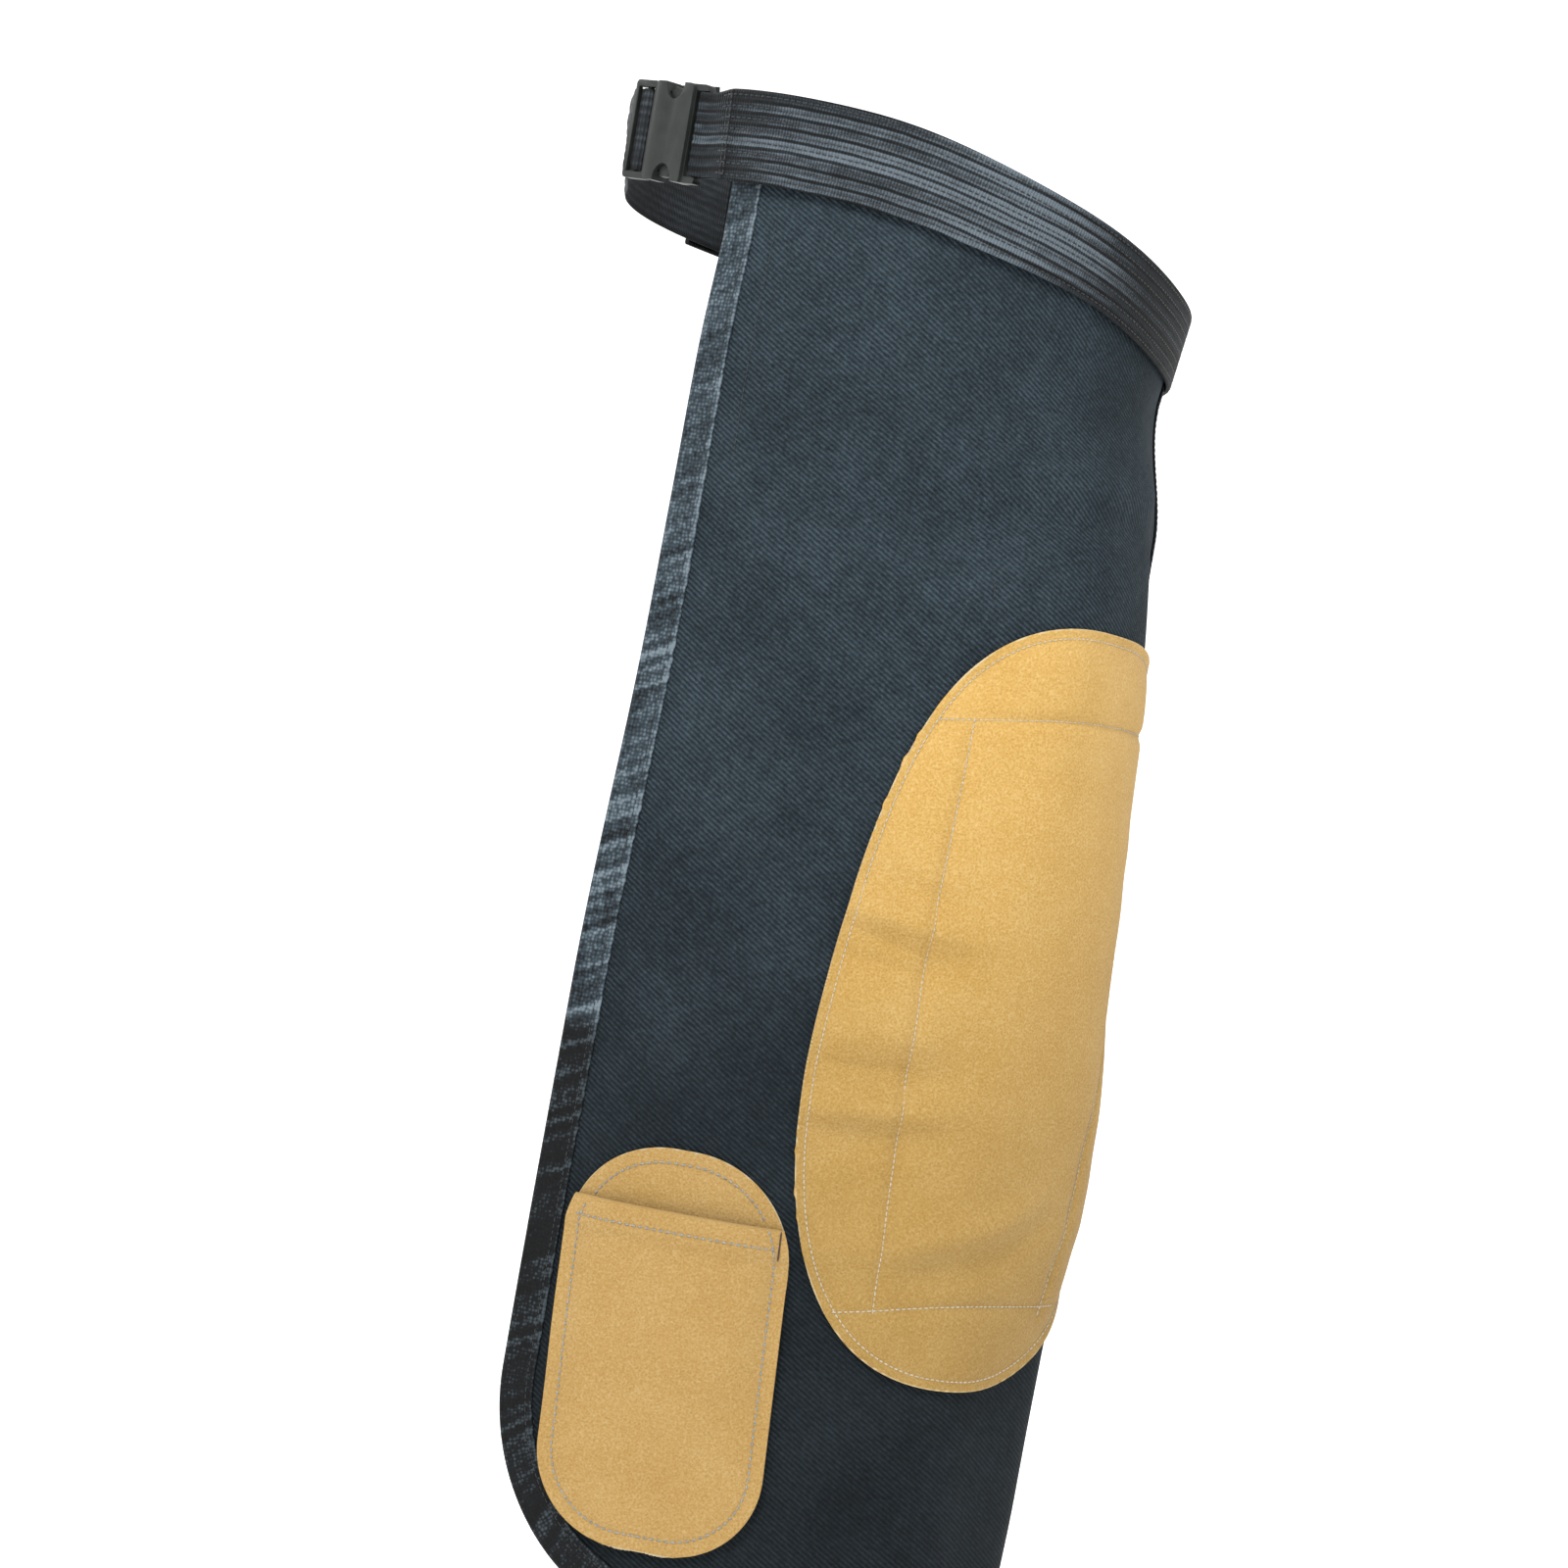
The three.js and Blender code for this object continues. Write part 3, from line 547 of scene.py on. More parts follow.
def grid_patch(
    name: str,
    columns: int,
    rows: int,
    shape: Callable[[Array, Array], tuple[Array, Array]],
    facing: Array | None = None,
) -> bpy.types.Object:
    """An open sheet from a grid primitive, whose vertices are laid where shape says.

    Args:
        name: the piece's name.
        columns: faces across.
        rows: faces down.
        shape: takes shares across and down from 0 to 1, and returns the points and the
            pattern's [u, v] in metres at each.
        facing: for each vertex, the way that the sheet's outer side faces, or None to keep
            the side that the grid gives.

    Returns:
        The sheet, with a UV map in metres.
    """
    deselect()
    bpy.ops.mesh.primitive_grid_add(x_subdivisions=columns, y_subdivisions=rows, size=1)
    piece = named(bpy.context.active_object, name)
    shares = vertices_of(piece)[:, :2] + 0.5
    points, pattern = shape(shares[:, 0], shares[:, 1])
    set_vertices(piece, points)
    loops = np.empty(len(piece.data.loops), np.int32)
    piece.data.loops.foreach_get("vertex_index", loops)
    piece.data.uv_layers.active.data.foreach_set("uv", pattern[loops].astype(np.float32).ravel())
    if facing is not None:
        normals = np.empty(3 * len(piece.data.vertices), np.float32)
        piece.data.vertices.foreach_get("normal", normals)
        if (normals.reshape(-1, 3) * facing).sum() < 0:
            piece.data.flip_normals()
    return piece


def thicken(
    piece: bpy.types.Object, thick: float, offset: float = 1.0, edge: float = 0.0
) -> bpy.types.Object:
    """Gives an open sheet its thickness.

    Args:
        piece: the sheet.
        thick: its thickness.
        offset: 1 to grow outwards, 0 to both sides and -1 inwards.
        edge: the radius of its rounded rim, or 0 for a square one.

    Returns:
        The sheet.
    """
    with_modifier(piece, "SOLIDIFY", thickness=thick, offset=offset, use_rim=True)
    if edge > 0:
        angle = math.radians(50)
        with_modifier(piece, "BEVEL", width=edge, segments=2, limit_method="ANGLE", angle_limit=angle)
    return smooth(piece)


def cell_shares(piece: bpy.types.Object, stations: int, ring: int) -> tuple[Array, Array]:
    """Each vertex's station and its place round the section, from a grid's own order."""
    order = np.arange(len(piece.data.vertices))
    return order % stations, (order // stations) % ring


def close_tube(piece: bpy.types.Object) -> None:
    """Joins a rolled grid's two long edges and fills its ends."""
    take_up(piece)
    bpy.ops.object.mode_set(mode="EDIT")
    bpy.ops.mesh.select_all(action="SELECT")
    bpy.ops.mesh.remove_doubles(threshold=1e-6)
    bpy.ops.mesh.select_all(action="DESELECT")
    bpy.ops.mesh.select_mode(type="EDGE")
    bpy.ops.mesh.select_non_manifold()
    bpy.ops.mesh.edge_face_add()
    bpy.ops.object.mode_set(mode="OBJECT")
    smooth(outward_again(piece), 50)


def face_outwards(piece: bpy.types.Object, surface: PanelSurface, along: float, z: float) -> None:
    """Turns an open sheet's faces to look outwards, judged at one place on the panel."""
    normal = surface.normal(along, z).reshape(3)
    closest = int(np.argmin(((vertices_of(piece) - surface.point(along, z).reshape(3)) ** 2).sum(1)))
    if Vector(piece.data.vertices[closest].normal).dot(Vector(normal)) < 0:
        piece.data.flip_normals()


def set_attribute(piece: bpy.types.Object, name: str, values: Array) -> None:
    """Stores one number at each of a piece's vertices, for a material to read."""
    made = piece.data.attributes.new(name, "FLOAT", "POINT")
    made.data.foreach_set("value", np.asarray(values, np.float32))


# ---------------------------------------------------------------- thread


@dataclass(frozen=True)
class Thread:
    """A sewing thread and the stitch that it makes. Lengths are in metres."""

    pitch: float = 0.0028
    length: float = 0.0022
    width: float = 0.0007
    proud: float = 0.0002

    def pattern(self) -> tuple[Array, list[tuple[int, ...]]]:
        """One stitch lying along X, as its points and faces: a six-sided bead with round ends."""
        deselect()
        bpy.ops.mesh.primitive_uv_sphere_add(segments=6, ring_count=4, radius=0.5)
        bead = bpy.context.active_object
        take_up(bead)
        bpy.ops.object.mode_set(mode="EDIT")
        bpy.ops.mesh.select_all(action="SELECT")
        bpy.ops.transform.rotate(value=math.pi / 2, orient_axis="Y", center_override=(0, 0, 0))
        bpy.ops.transform.resize(value=(self.length, self.width, self.width * 0.8), center_override=(0, 0, 0))
        bpy.ops.object.mode_set(mode="OBJECT")
        points = vertices_of(bead)
        faces = [tuple(face.vertices) for face in bead.data.polygons]
        bpy.data.objects.remove(bead)
        return points, faces

    def sew(self, name: str, lines: Sequence[tuple[Array, Array]]) -> bpy.types.Object:
        """Sews lines of stitches as one piece.

        Args:
            name: the piece's name.
            lines: pairs of a line's points and the surface's outward normals at them.

        Returns:
            The stitches.
        """
        bead, faces = self.pattern()
        corners: list[Array] = []
        for points, normals in lines:
            along = lengths_along(points)
            count = max(1, int(along[-1] / self.pitch))
            middles = (np.arange(count) + 0.5) * self.pitch
            ahead = at_lengths(middles + self.pitch / 2, along, points)
            behind = at_lengths(middles - self.pitch / 2, along, points)
            out = unit(at_lengths(middles, along, normals))
            x = unit(ahead - behind)
            y = np.cross(out, x)
            wobble = 1 + 0.12 * np.sin(np.arange(count) * 2.4)[:, None, None]
            middle = at_lengths(middles, along, points) + out * self.proud
            spread = bead[None, :, 0:1] * x[:, None] * wobble + bead[None, :, 1:2] * y[:, None]
            corners.append(middle[:, None] + spread + bead[None, :, 2:3] * out[:, None])
        all_points = np.concatenate([c.reshape(-1, 3) for c in corners])
        stitches = sum(len(c) for c in corners)
        sizes = np.array([len(face) for face in faces], np.int32)
        single = np.concatenate([np.array(face, np.int32) for face in faces])
        loops = (np.arange(stitches)[:, None] * len(bead) + single).ravel().astype(np.int32)
        mesh = bpy.data.meshes.new(name)
        mesh.vertices.add(len(all_points))
        mesh.vertices.foreach_set("co", all_points.astype(np.float32).ravel())
        mesh.loops.add(len(loops))
        mesh.loops.foreach_set("vertex_index", loops)
        mesh.polygons.add(stitches * len(faces))
        starts = np.concatenate([[0], np.cumsum(np.tile(sizes, stitches))[:-1]])
        mesh.polygons.foreach_set("loop_start", starts.astype(np.int32))
        mesh.polygons.foreach_set("loop_total", np.tile(sizes, stitches).astype(np.int32))
        mesh.polygons.foreach_set("use_smooth", np.ones(stitches * len(faces), bool))
        mesh.update(calc_edges=True)
        mesh.validate()
        piece = bpy.data.objects.new(name, mesh)
        bpy.context.scene.collection.objects.link(piece)
        return outward_again(piece)


FINE_THREAD = Thread(width=0.0008)
POCKET_THREAD = Thread(pitch=0.0034, length=0.0026, width=0.0011)
BELT_THREAD = Thread(pitch=0.0034, length=0.0028, width=0.0008, proud=0.0001)
TAPE_THREAD = Thread(pitch=0.0032, length=0.0024, width=0.0006, proud=0.0001)
TACK_THREAD = Thread(pitch=0.0009, length=0.0040, width=0.0009, proud=0.0003)


# ---------------------------------------------------------------- finishes


def linear(hex_colour: str, strength: float = 1.0) -> tuple[float, float, float, float]:
    """An sRGB hex colour as linear RGBA.

    Args:
        hex_colour: six hex digits, with or without the hash sign.
        strength: what the linear values are multiplied by.

    Returns:
        Red, green, blue and an alpha of 1.
    """
    digits = hex_colour.lstrip("#")
    parts = [int(digits[i : i + 2], 16) / 255 for i in (0, 2, 4)]
    spread = [c / 12.92 if c <= 0.04045 else ((c + 0.055) / 1.055) ** 2.4 for c in parts]
    return (*(strength * c for c in spread), 1.0)


class Finish:
    """A material whose nodes are added one at a time. Subclasses say what it looks like."""

    def __init__(self, name: str) -> None:
        """Starts an empty material."""
        self.material = bpy.data.materials.new(name)
        self.material.use_nodes = True
        self.tree = self.material.node_tree
        self.tree.nodes.clear()

    def add(self, kind: str, inputs: dict[str | int, Any] | None = None, **settings: Any) -> bpy.types.Node:
        """Adds a node.

        Args:
            kind: the node's type without its ShaderNode prefix.
            inputs: values or other nodes' outputs for its sockets, by name or number.
            settings: the node's own settings.

        Returns:
            The node.
        """
        node = self.tree.nodes.new("ShaderNode" + kind)
        for key, value in settings.items():
            setattr(node, key, value)
        for key, value in (inputs or {}).items():
            if isinstance(value, bpy.types.NodeSocket):
                self.tree.links.new(value, node.inputs[key])
            else:
                node.inputs[key].default_value = value
        return node

    def surface(
        self, colour: Any, roughness: Any, relief: tuple[float, float, Any] | None, **constants: float
    ) -> None:
        """Adds the shader and the output.

        Args:
            colour: the base colour, or the socket that gives it.
            roughness: the roughness, or the socket that gives it.
            relief: the relief's strength, its height and the pattern that it follows, or None.
            constants: other sockets' constant values, with _ for a space in the name.
        """
        inputs: dict[str | int, Any] = {"Base Color": colour, "Roughness": roughness}
        inputs.update({key.replace("_", " "): value for key, value in constants.items()})
        if relief is not None:
            strength, height, pattern = relief
            bump = self.add("Bump", {"Strength": strength, "Distance": height, "Height": pattern})
            inputs["Normal"] = bump.outputs[0]
        shader = self.add("BsdfPrincipled", inputs)
        self.add("OutputMaterial", {"Surface": shader.outputs[0]})

    def weighted(self, *parts: tuple[Any, float], start: Any = 0.0) -> Any:
        """A start value plus patterns, each times its weight."""
        total = start
        for pattern, weight in parts:
            total = self.add("Math", {0: pattern, 1: weight, 2: total}, operation="MULTIPLY_ADD").outputs[0]
        return total

    def shaded(self, tone: Any, low: float, high: float, stops: Sequence[tuple[float, Any]]) -> Any:
        """The colour over a tone, whose low and high values meet the ramp's two ends."""
        spread = self.add("MapRange", {0: tone, 1: low, 2: high})
        return self.ramp(spread.outputs[0], stops)

    def banded(self, place: Any, direction: str, inputs: dict[str | int, Any]) -> Any:
        """Even bands across one direction of a place."""
        inputs = {"Vector": place, **inputs}
        return self.add("TexWave", inputs, wave_type="BANDS", bands_direction=direction).outputs["Fac"]

    def marked(self, attribute: str) -> Any:
        """The number that an attribute holds at each place."""
        return self.add("Attribute", attribute_name=attribute).outputs["Fac"]

    def mixed(self, share: Any, first: Any, second: Any, blend: str = "MIX") -> Any:
        """Two colours mixed by a share."""
        inputs = {"Factor": share, 6: first, 7: second}
        return self.add("Mix", inputs, data_type="RGBA", blend_type=blend).outputs[2]

    def ramp(self, value: Any, stops: Sequence[tuple[float, Any]]) -> Any:
        """A colour ramp's output over a value, from (place, linear colour) pairs."""
        node = self.add("ValToRGB", {0: value})
        elements = node.color_ramp.elements
        while len(elements) < len(stops):
            elements.new(0.5)
        for element, (place, colour) in zip(elements, stops):
            element.position = place
            element.color = colour
        return node.outputs[0]

    def painted_downward_shade(self, colour: Any, uv: Any, high: float, low: float, shade: float) -> Any:
        """The colour with painted shade towards the hem: full at one height, times shade at another."""
        level = self.add("SeparateXYZ", {0: uv}).outputs["Y"]
        fade = {0: level, 1: high, 2: low, 3: 1.0, 4: shade}
        shade_factor = self.add("MapRange", fade, interpolation_type="SMOOTHSTEP").outputs[0]
        return self.mixed(1.0, colour, shade_factor, "MULTIPLY")

    def dress(self, *pieces: bpy.types.Object) -> None:
        """Makes this the only material of each piece."""
        for piece in pieces:
            piece.data.materials.clear()
            piece.data.materials.append(self.material)


@dataclass(frozen=True)
class Dyes:
    """A finish's shades, dark to light, as sRGB hex as they look in full studio light.

    depth brings them down to what the material itself reflects.
    """

    dark: str
    middle: str
    light: str
    depth: float = 0.36

    def stops(self, *places: float) -> list[tuple[float, tuple[float, float, float, float]]]:
        """The three shades at three places on a ramp."""
        shades = (self.dark, self.middle, self.light)
        return [(place, linear(shade, self.depth)) for place, shade in zip(places, shades)]


class TwillCanvas(Finish):
    """Cotton canvas in a 2/1 twill, piece-dyed slate blue-grey and washed.

    The real ribs lie about 1 mm apart. They are drawn 2.1 mm apart, because finer ones would
    not show at the size that the apron is seen at. The yarn's slubs and the lint of washing
    make the dye look faintly mottled.
    """

    RIB = 2.1 * MM
    STEEPNESS = 32.0
    # How many of each pattern go to a metre of cloth.
    YARNS, SLUBS, WASH_MARKS, DRIFTS = 520.0, 140.0, 14.0, 9.0
    # The heights between which painted shade darkens the cloth.
    DOWNWARD_SHADE = (-0.22, -0.60)

    def __init__(self, dyes: Dyes, hem_shade: float, name: str = "cotton_twill_canvas") -> None:
        """Lays out the twill's nodes. hem_shade is how bright the painted shade leaves the hem beside the
        hip.
        """
        super().__init__(name)
        uv = self.add("UVMap", uv_map="UVMap").outputs[0]
        turn = (0.0, 0.0, -math.radians(90 - self.STEEPNESS))
        turned = self.add("Mapping", {"Vector": uv, "Rotation": turn}).outputs[0]
        bands = {"Scale": WAVE_STEP / self.RIB, "Distortion": 0.9, "Detail": 2.0, "Detail Scale": 3.0}
        rib = self.banded(turned, "X", bands)
        threads = {"Vector": uv, "Scale": self.YARNS, "Detail": 3.0, "Roughness": 0.65}
        washing = {"Vector": uv, "Scale": self.WASH_MARKS, "Detail": 4.0, "Roughness": 0.6}
        yarn = self.add("TexNoise", threads).outputs["Fac"]
        slub = self.add("TexNoise", {"Vector": turned, "Scale": self.SLUBS, "Detail": 2.0}).outputs["Fac"]
        wash = self.add("TexNoise", washing).outputs["Fac"]
        drift = self.add("TexNoise", {"Vector": uv, "Scale": self.DRIFTS, "Detail": 2.0}).outputs["Fac"]
        tone = self.weighted((rib, 0.40), (yarn, 1.05), (slub, 0.35), (wash, 0.7), (drift, 0.15))
        colour = self.shaded(tone, 0.78, 1.82, dyes.stops(0.0, 0.5, 1.0))
        # Painted shade: the cloth darkens from the hip down towards the hem.
        colour = self.painted_downward_shade(colour, uv, *self.DOWNWARD_SHADE, hem_shade)
        relief = (0.7, 0.6 * MM, self.weighted((yarn, 0.5), start=rib))
        self.surface(colour, 0.86, relief, Specular_IOR_Level=0.12)


class SplitLeather(Finish):
    """Cowhide split, chrome-tanned golden and sueded: a short dense nap with no gloss.

    The nap is drawn as grain 0.9 mm across, with softer clouds where it lies another way. The
    knife leaves the cut edge paler, which the edge attribute marks.
    """

    # How many of each pattern go to a metre of leather.
    HAIRS, GRIT, CLOUDS = 860.0, 900.0, 26.0
    # The heights between which painted shade darkens the leather.
    DOWNWARD_SHADE = (-0.20, -0.56)

    def __init__(
        self, dyes: Dyes, cut_edge: str, hem_shade: float, name: str = "sueded_split_leather"
    ) -> None:
        """Lays out the leather's nodes. hem_shade is how bright the painted shade leaves its lower end beside
        its top.
        """
        super().__init__(name)
        uv = self.add("UVMap", uv_map="UVMap").outputs[0]
        hairs = {"Vector": uv, "Scale": self.HAIRS, "Detail": 3.0, "Roughness": 0.75}
        clouds = {"Vector": uv, "Scale": self.CLOUDS, "Detail": 5.0, "Roughness": 0.62}
        nap = self.add("TexNoise", hairs).outputs["Fac"]
        grit = self.add("TexVoronoi", {"Vector": uv, "Scale": self.GRIT}, feature="F1").outputs["Distance"]
        cloud = self.add("TexNoise", clouds).outputs["Fac"]
        tone = self.weighted((nap, 0.80), (grit, 0.25), (cloud, 0.26), start=-0.12)
        hide = self.shaded(tone, 0.30, 0.76, dyes.stops(0.0, 0.5, 1.0))
        # Painted shade: the leather darkens from its top down.
        hide = self.painted_downward_shade(hide, uv, *self.DOWNWARD_SHADE, hem_shade)
        worn = self.add("MapRange", {0: self.marked("edge"), 1: 0.55, 2: 0.95}).outputs[0]
        colour = self.mixed(worn, hide, linear(cut_edge, dyes.depth))
        relief = (0.6, 0.6 * MM, self.weighted((grit, 0.4), start=nap))
        self.surface(colour, 0.92, relief, Specular_IOR_Level=0.15, Sheen_Weight=0.08, Sheen_Roughness=0.5)


class StitchedWebbing(Finish):
    """Polypropylene webbing in a coarse plain weave: grey-blue yarns that glint where they
    turn over, and dark gaps between them.

    The ribs run along the strap and follow the ridges that the rib attribute gives. The weft
    is drawn 1.6 mm apart, coarser than the real 1 mm, so that it shows.
    """

    # How many of each pattern go to a metre across the strap.
    STREAKS, FADES = 420.0, 60.0
    STRETCH = (0.22, 1.0, 1.0)

    def __init__(self, dyes: Dyes, name: str, weft: float = 1.6 * MM, furrow: float = 0.0) -> None:
        """Lays out the webbing's nodes. furrow is the distance between rows of stitching, if any."""
        super().__init__(name)
        uv = self.add("UVMap", uv_map="UVMap").outputs[0]
        stretched = self.add("Mapping", {"Vector": uv, "Scale": self.STRETCH}).outputs[0]
        weave = {"Scale": WAVE_STEP / weft, "Distortion": 1.4, "Detail": 1.0, "Detail Scale": 2.0}
        cross = self.banded(uv, "X", weave)
        streaks = {"Vector": stretched, "Scale": self.STREAKS, "Detail": 3.0, "Roughness": 0.7}
        streak = self.add("TexNoise", streaks).outputs["Fac"]
        fade = self.add("TexNoise", {"Vector": stretched, "Scale": self.FADES, "Detail": 3.0}).outputs["Fac"]
        # On the waistband the rib attribute also holds painted shade and a painted highlight.
        tone = self.weighted((cross, 0.22), (streak, 0.75), (fade, 0.55), (self.marked("rib"), 0.75))
        if furrow:
            rows = {"Scale": WAVE_STEP / furrow, "Distortion": 0.8, "Detail": 2.0, "Detail Scale": 0.5}
            row = self.banded(uv, "Y", rows)
            deep = self.add("MapRange", {0: row, 1: 0.30, 2: 0.0, 3: 0.0, 4: -0.75}).outputs[0]
            tone = self.weighted((deep, 1.0), start=tone)
        colour = self.shaded(tone, 0.62, 1.62, dyes.stops(0.0, 0.5, 1.0))
        relief = (0.7, 0.5 * MM, self.weighted((streak, 0.6), start=cross))
        self.surface(colour, 0.7, relief, Specular_IOR_Level=0.16)


class BindingTape(Finish):
    """Polyester herringbone binding tape, woven in two greys and folded over the edge.

    The rib attribute marks its puckers and its paler selvage. The fade attribute paints shade
    over the lower end, nearly black. The weave's dots are drawn 1.5 mm apart.
    """

    # How many of each pattern go to a metre of tape.
    DOTS, STREAKS, BLOTCHES = 520.0, 330.0, 75.0
    STRETCH = (1.0, 0.28, 1.0)

    def __init__(self, dyes: Dyes, shade_dyes: Dyes, name: str = "woven_binding_tape") -> None:
        """Lays out the tape's nodes. The second dyes are the tones of the painted shade on the lower end."""
        super().__init__(name)
        uv = self.add("UVMap", uv_map="UVMap").outputs[0]
        dots = {"Vector": uv, "Scale": self.DOTS, "Randomness": 0.45}
        cell = self.add("TexVoronoi", dots, feature="F1").outputs["Distance"]
        stretched = self.add("Mapping", {"Vector": uv, "Scale": self.STRETCH}).outputs[0]
        streaks = {"Vector": stretched, "Scale": self.STREAKS, "Detail": 3.0, "Roughness": 0.7}
        streak = self.add("TexNoise", streaks).outputs["Fac"]
        blotches = {"Vector": stretched, "Scale": self.BLOTCHES, "Detail": 3.0}
        blotch = self.add("TexNoise", blotches).outputs["Fac"]
        parts = ((cell, -0.85), (streak, 0.7), (blotch, 0.7), (self.marked("rib"), 0.6))
        tone = self.weighted(*parts, start=0.52)
        upper = self.shaded(tone, 0.70, 1.60, dyes.stops(0.0, 0.5, 1.0))
        # The lower end's painted shade, in the second dyes' tones.
        lower = self.shaded(tone, 0.70, 1.60, shade_dyes.stops(0.0, 0.6, 1.0))
        colour = self.mixed(self.marked("fade"), upper, lower)
        relief = (0.7, 0.5 * MM, self.weighted((cell, -1.0), start=streak))
        self.surface(colour, 0.62, relief, Specular_IOR_Level=0.14)


class MouldedAcetal(Finish):
    """Acetal, injection moulded in grey-green with a fine spark texture, satin.

    The texture's pits are drawn 0.7 mm across. Handling polishes it in patches.
    """

    def __init__(self, dyes: Dyes, name: str = "moulded_acetal") -> None:
        """Lays out the plastic's nodes."""
        super().__init__(name)
        at = self.add("TexCoord").outputs["Object"]
        spark = self.add("TexNoise", {"Vector": at, "Scale": 900.0, "Detail": 2.0}).outputs["Fac"]
        wear = self.add("TexNoise", {"Vector": at, "Scale": 70.0, "Detail": 3.0}).outputs["Fac"]
        colour = self.ramp(wear, dyes.stops(0.3, 0.5, 0.75))
        rough = self.add("MapRange", {0: wear, 1: 0.3, 2: 0.7, 3: 0.38, 4: 0.55}).outputs[0]
        self.surface(colour, rough, (0.25, 0.2 * MM, spark), IOR=1.48, Specular_IOR_Level=0.4)


class SewingThread(Finish):
    """Bonded polyester thread, spun of two plies: a soft gloss with darker turns."""

    def __init__(self, dyes: Dyes, name: str) -> None:
        """Lays out the thread's nodes."""
        super().__init__(name)
        at = self.add("TexCoord").outputs["Object"]
        ply = self.add("TexNoise", {"Vector": at, "Scale": 1100.0, "Detail": 2.0}).outputs["Fac"]
        colour = self.ramp(ply, dyes.stops(0.3, 0.5, 0.7))
        self.surface(colour, 0.55, (0.4, 0.2 * MM, ply), Specular_IOR_Level=0.35, Sheen_Weight=0.1)


class Finishes:
    """Every finish on the apron, made once."""

    def __init__(self) -> None:
        """Mixes the finishes."""
        # The twill's and the patch leather's last numbers are how bright their painted shade leaves their
        # lower ends.
        self.twill = TwillCanvas(Dyes("#10191F", "#37464F", "#667985", 0.275), 0.38)
        self.lining = TwillCanvas(Dyes("#1C2024", "#282E33", "#3A4147", 0.5), 1.0, "cotton_drill_lining")
        self.leather = SplitLeather(Dyes("#C49748", "#DDB263", "#EFCB86", 0.53), "#EFD7A6", 0.62)
        self.pocket_leather = SplitLeather(
            Dyes("#C49850", "#DCB26A", "#EECB8C", 0.38), "#F6E2B8", 1.0, "sueded_split_leather_pocket"
        )
        self.belt = StitchedWebbing(
            Dyes("#07090B", "#38434B", "#97A7B3", 0.26), "stitched_polypropylene_webbing", furrow=5.6 * MM
        )
        self.strap = StitchedWebbing(
            Dyes("#101314", "#272C30", "#545C62", 0.45), "plain_polypropylene_webbing", 1.8 * MM
        )
        self.elastic = StitchedWebbing(
            Dyes("#0E0F10", "#1D1F21", "#3B3F42", 0.5), "knitted_elastic_webbing", 1.3 * MM
        )
        # The tape's second dyes are the tones of the painted shade on its lower end.
        self.tape = BindingTape(
            Dyes("#10181E", "#50616C", "#A6B8C4", 0.27), Dyes("#010203", "#10161A", "#5A6870", 0.27)
        )
        self.plastic = MouldedAcetal(Dyes("#3B433F", "#4A534D", "#5E6862", 0.13))
        thread = "spun_polyester_thread_"
        self.pale_thread = SewingThread(Dyes("#C9B795", "#E4D8BE", "#F6F0E2", 0.42), thread + "cream")
        self.grey_thread = SewingThread(Dyes("#8A8B86", "#ABAAA2", "#CBC9BF", 0.42), thread + "grey")
        self.dark_thread = SewingThread(Dyes("#0F1214", "#1D2226", "#343C42", 0.36), thread + "black")
        self.brown_thread = SewingThread(Dyes("#2B1712", "#4E2C22", "#6E4434", 0.42), thread + "brown")


# ---------------------------------------------------------------- one leg


@dataclass(frozen=True)
class Fold:
    """Where the cloth turns between the waist and a leg as the leg swings, on the right side."""

    start: tuple[float, float, float] = (-0.115, 0.0, -0.115)
    end: tuple[float, float, float] = (-0.165, 0.0, -0.165)

    def share(self, piece: bpy.types.Object, side: Side) -> None:
        """Bakes a piece's placement into its mesh."""
        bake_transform(piece)


def star_outline(outline: Array, a: Array, b: Array) -> Array:
    """Lays a square's points over the inside of a rounded outline.

    Args:
        outline: the outline's points round its middle, which lies at the origin.
        a: the points' first coordinates in the square, from -1 to 1.
        b: their second coordinates.

    Returns:
        The points inside the outline.
    """
    x, y = a * np.sqrt(1 - b * b / 2), b * np.sqrt(1 - a * a / 2)
    turn = np.arctan2(outline[:, 1], outline[:, 0])
    order = np.argsort(turn)
    reach = np.hypot(outline[order, 0], outline[order, 1])
    radius = np.interp(np.arctan2(y, x), turn[order], reach, period=2 * math.pi)
    size = np.hypot(x, y)
    turned = np.arctan2(y, x)
    return np.stack([size * radius * np.cos(turned), size * radius * np.sin(turned)], 1)


def distance_to(line: Array, points: Array) -> Array:
    """Each point's distance to the nearest of a line's closely spaced points."""
    best = np.full(len(points), 1e9)
    for start in range(0, len(line), 64):
        part = line[start : start + 64]
        best = np.minimum(best, np.sqrt(((points[:, None] - part[None]) ** 2).sum(-1)).min(1))
    return best


def dense(points: Sequence[tuple[float, float]], step: float = 0.001) -> Array:
    """A smooth flat line through a few places, as closely spaced points."""
    return even_path(np.array(points, float), step)


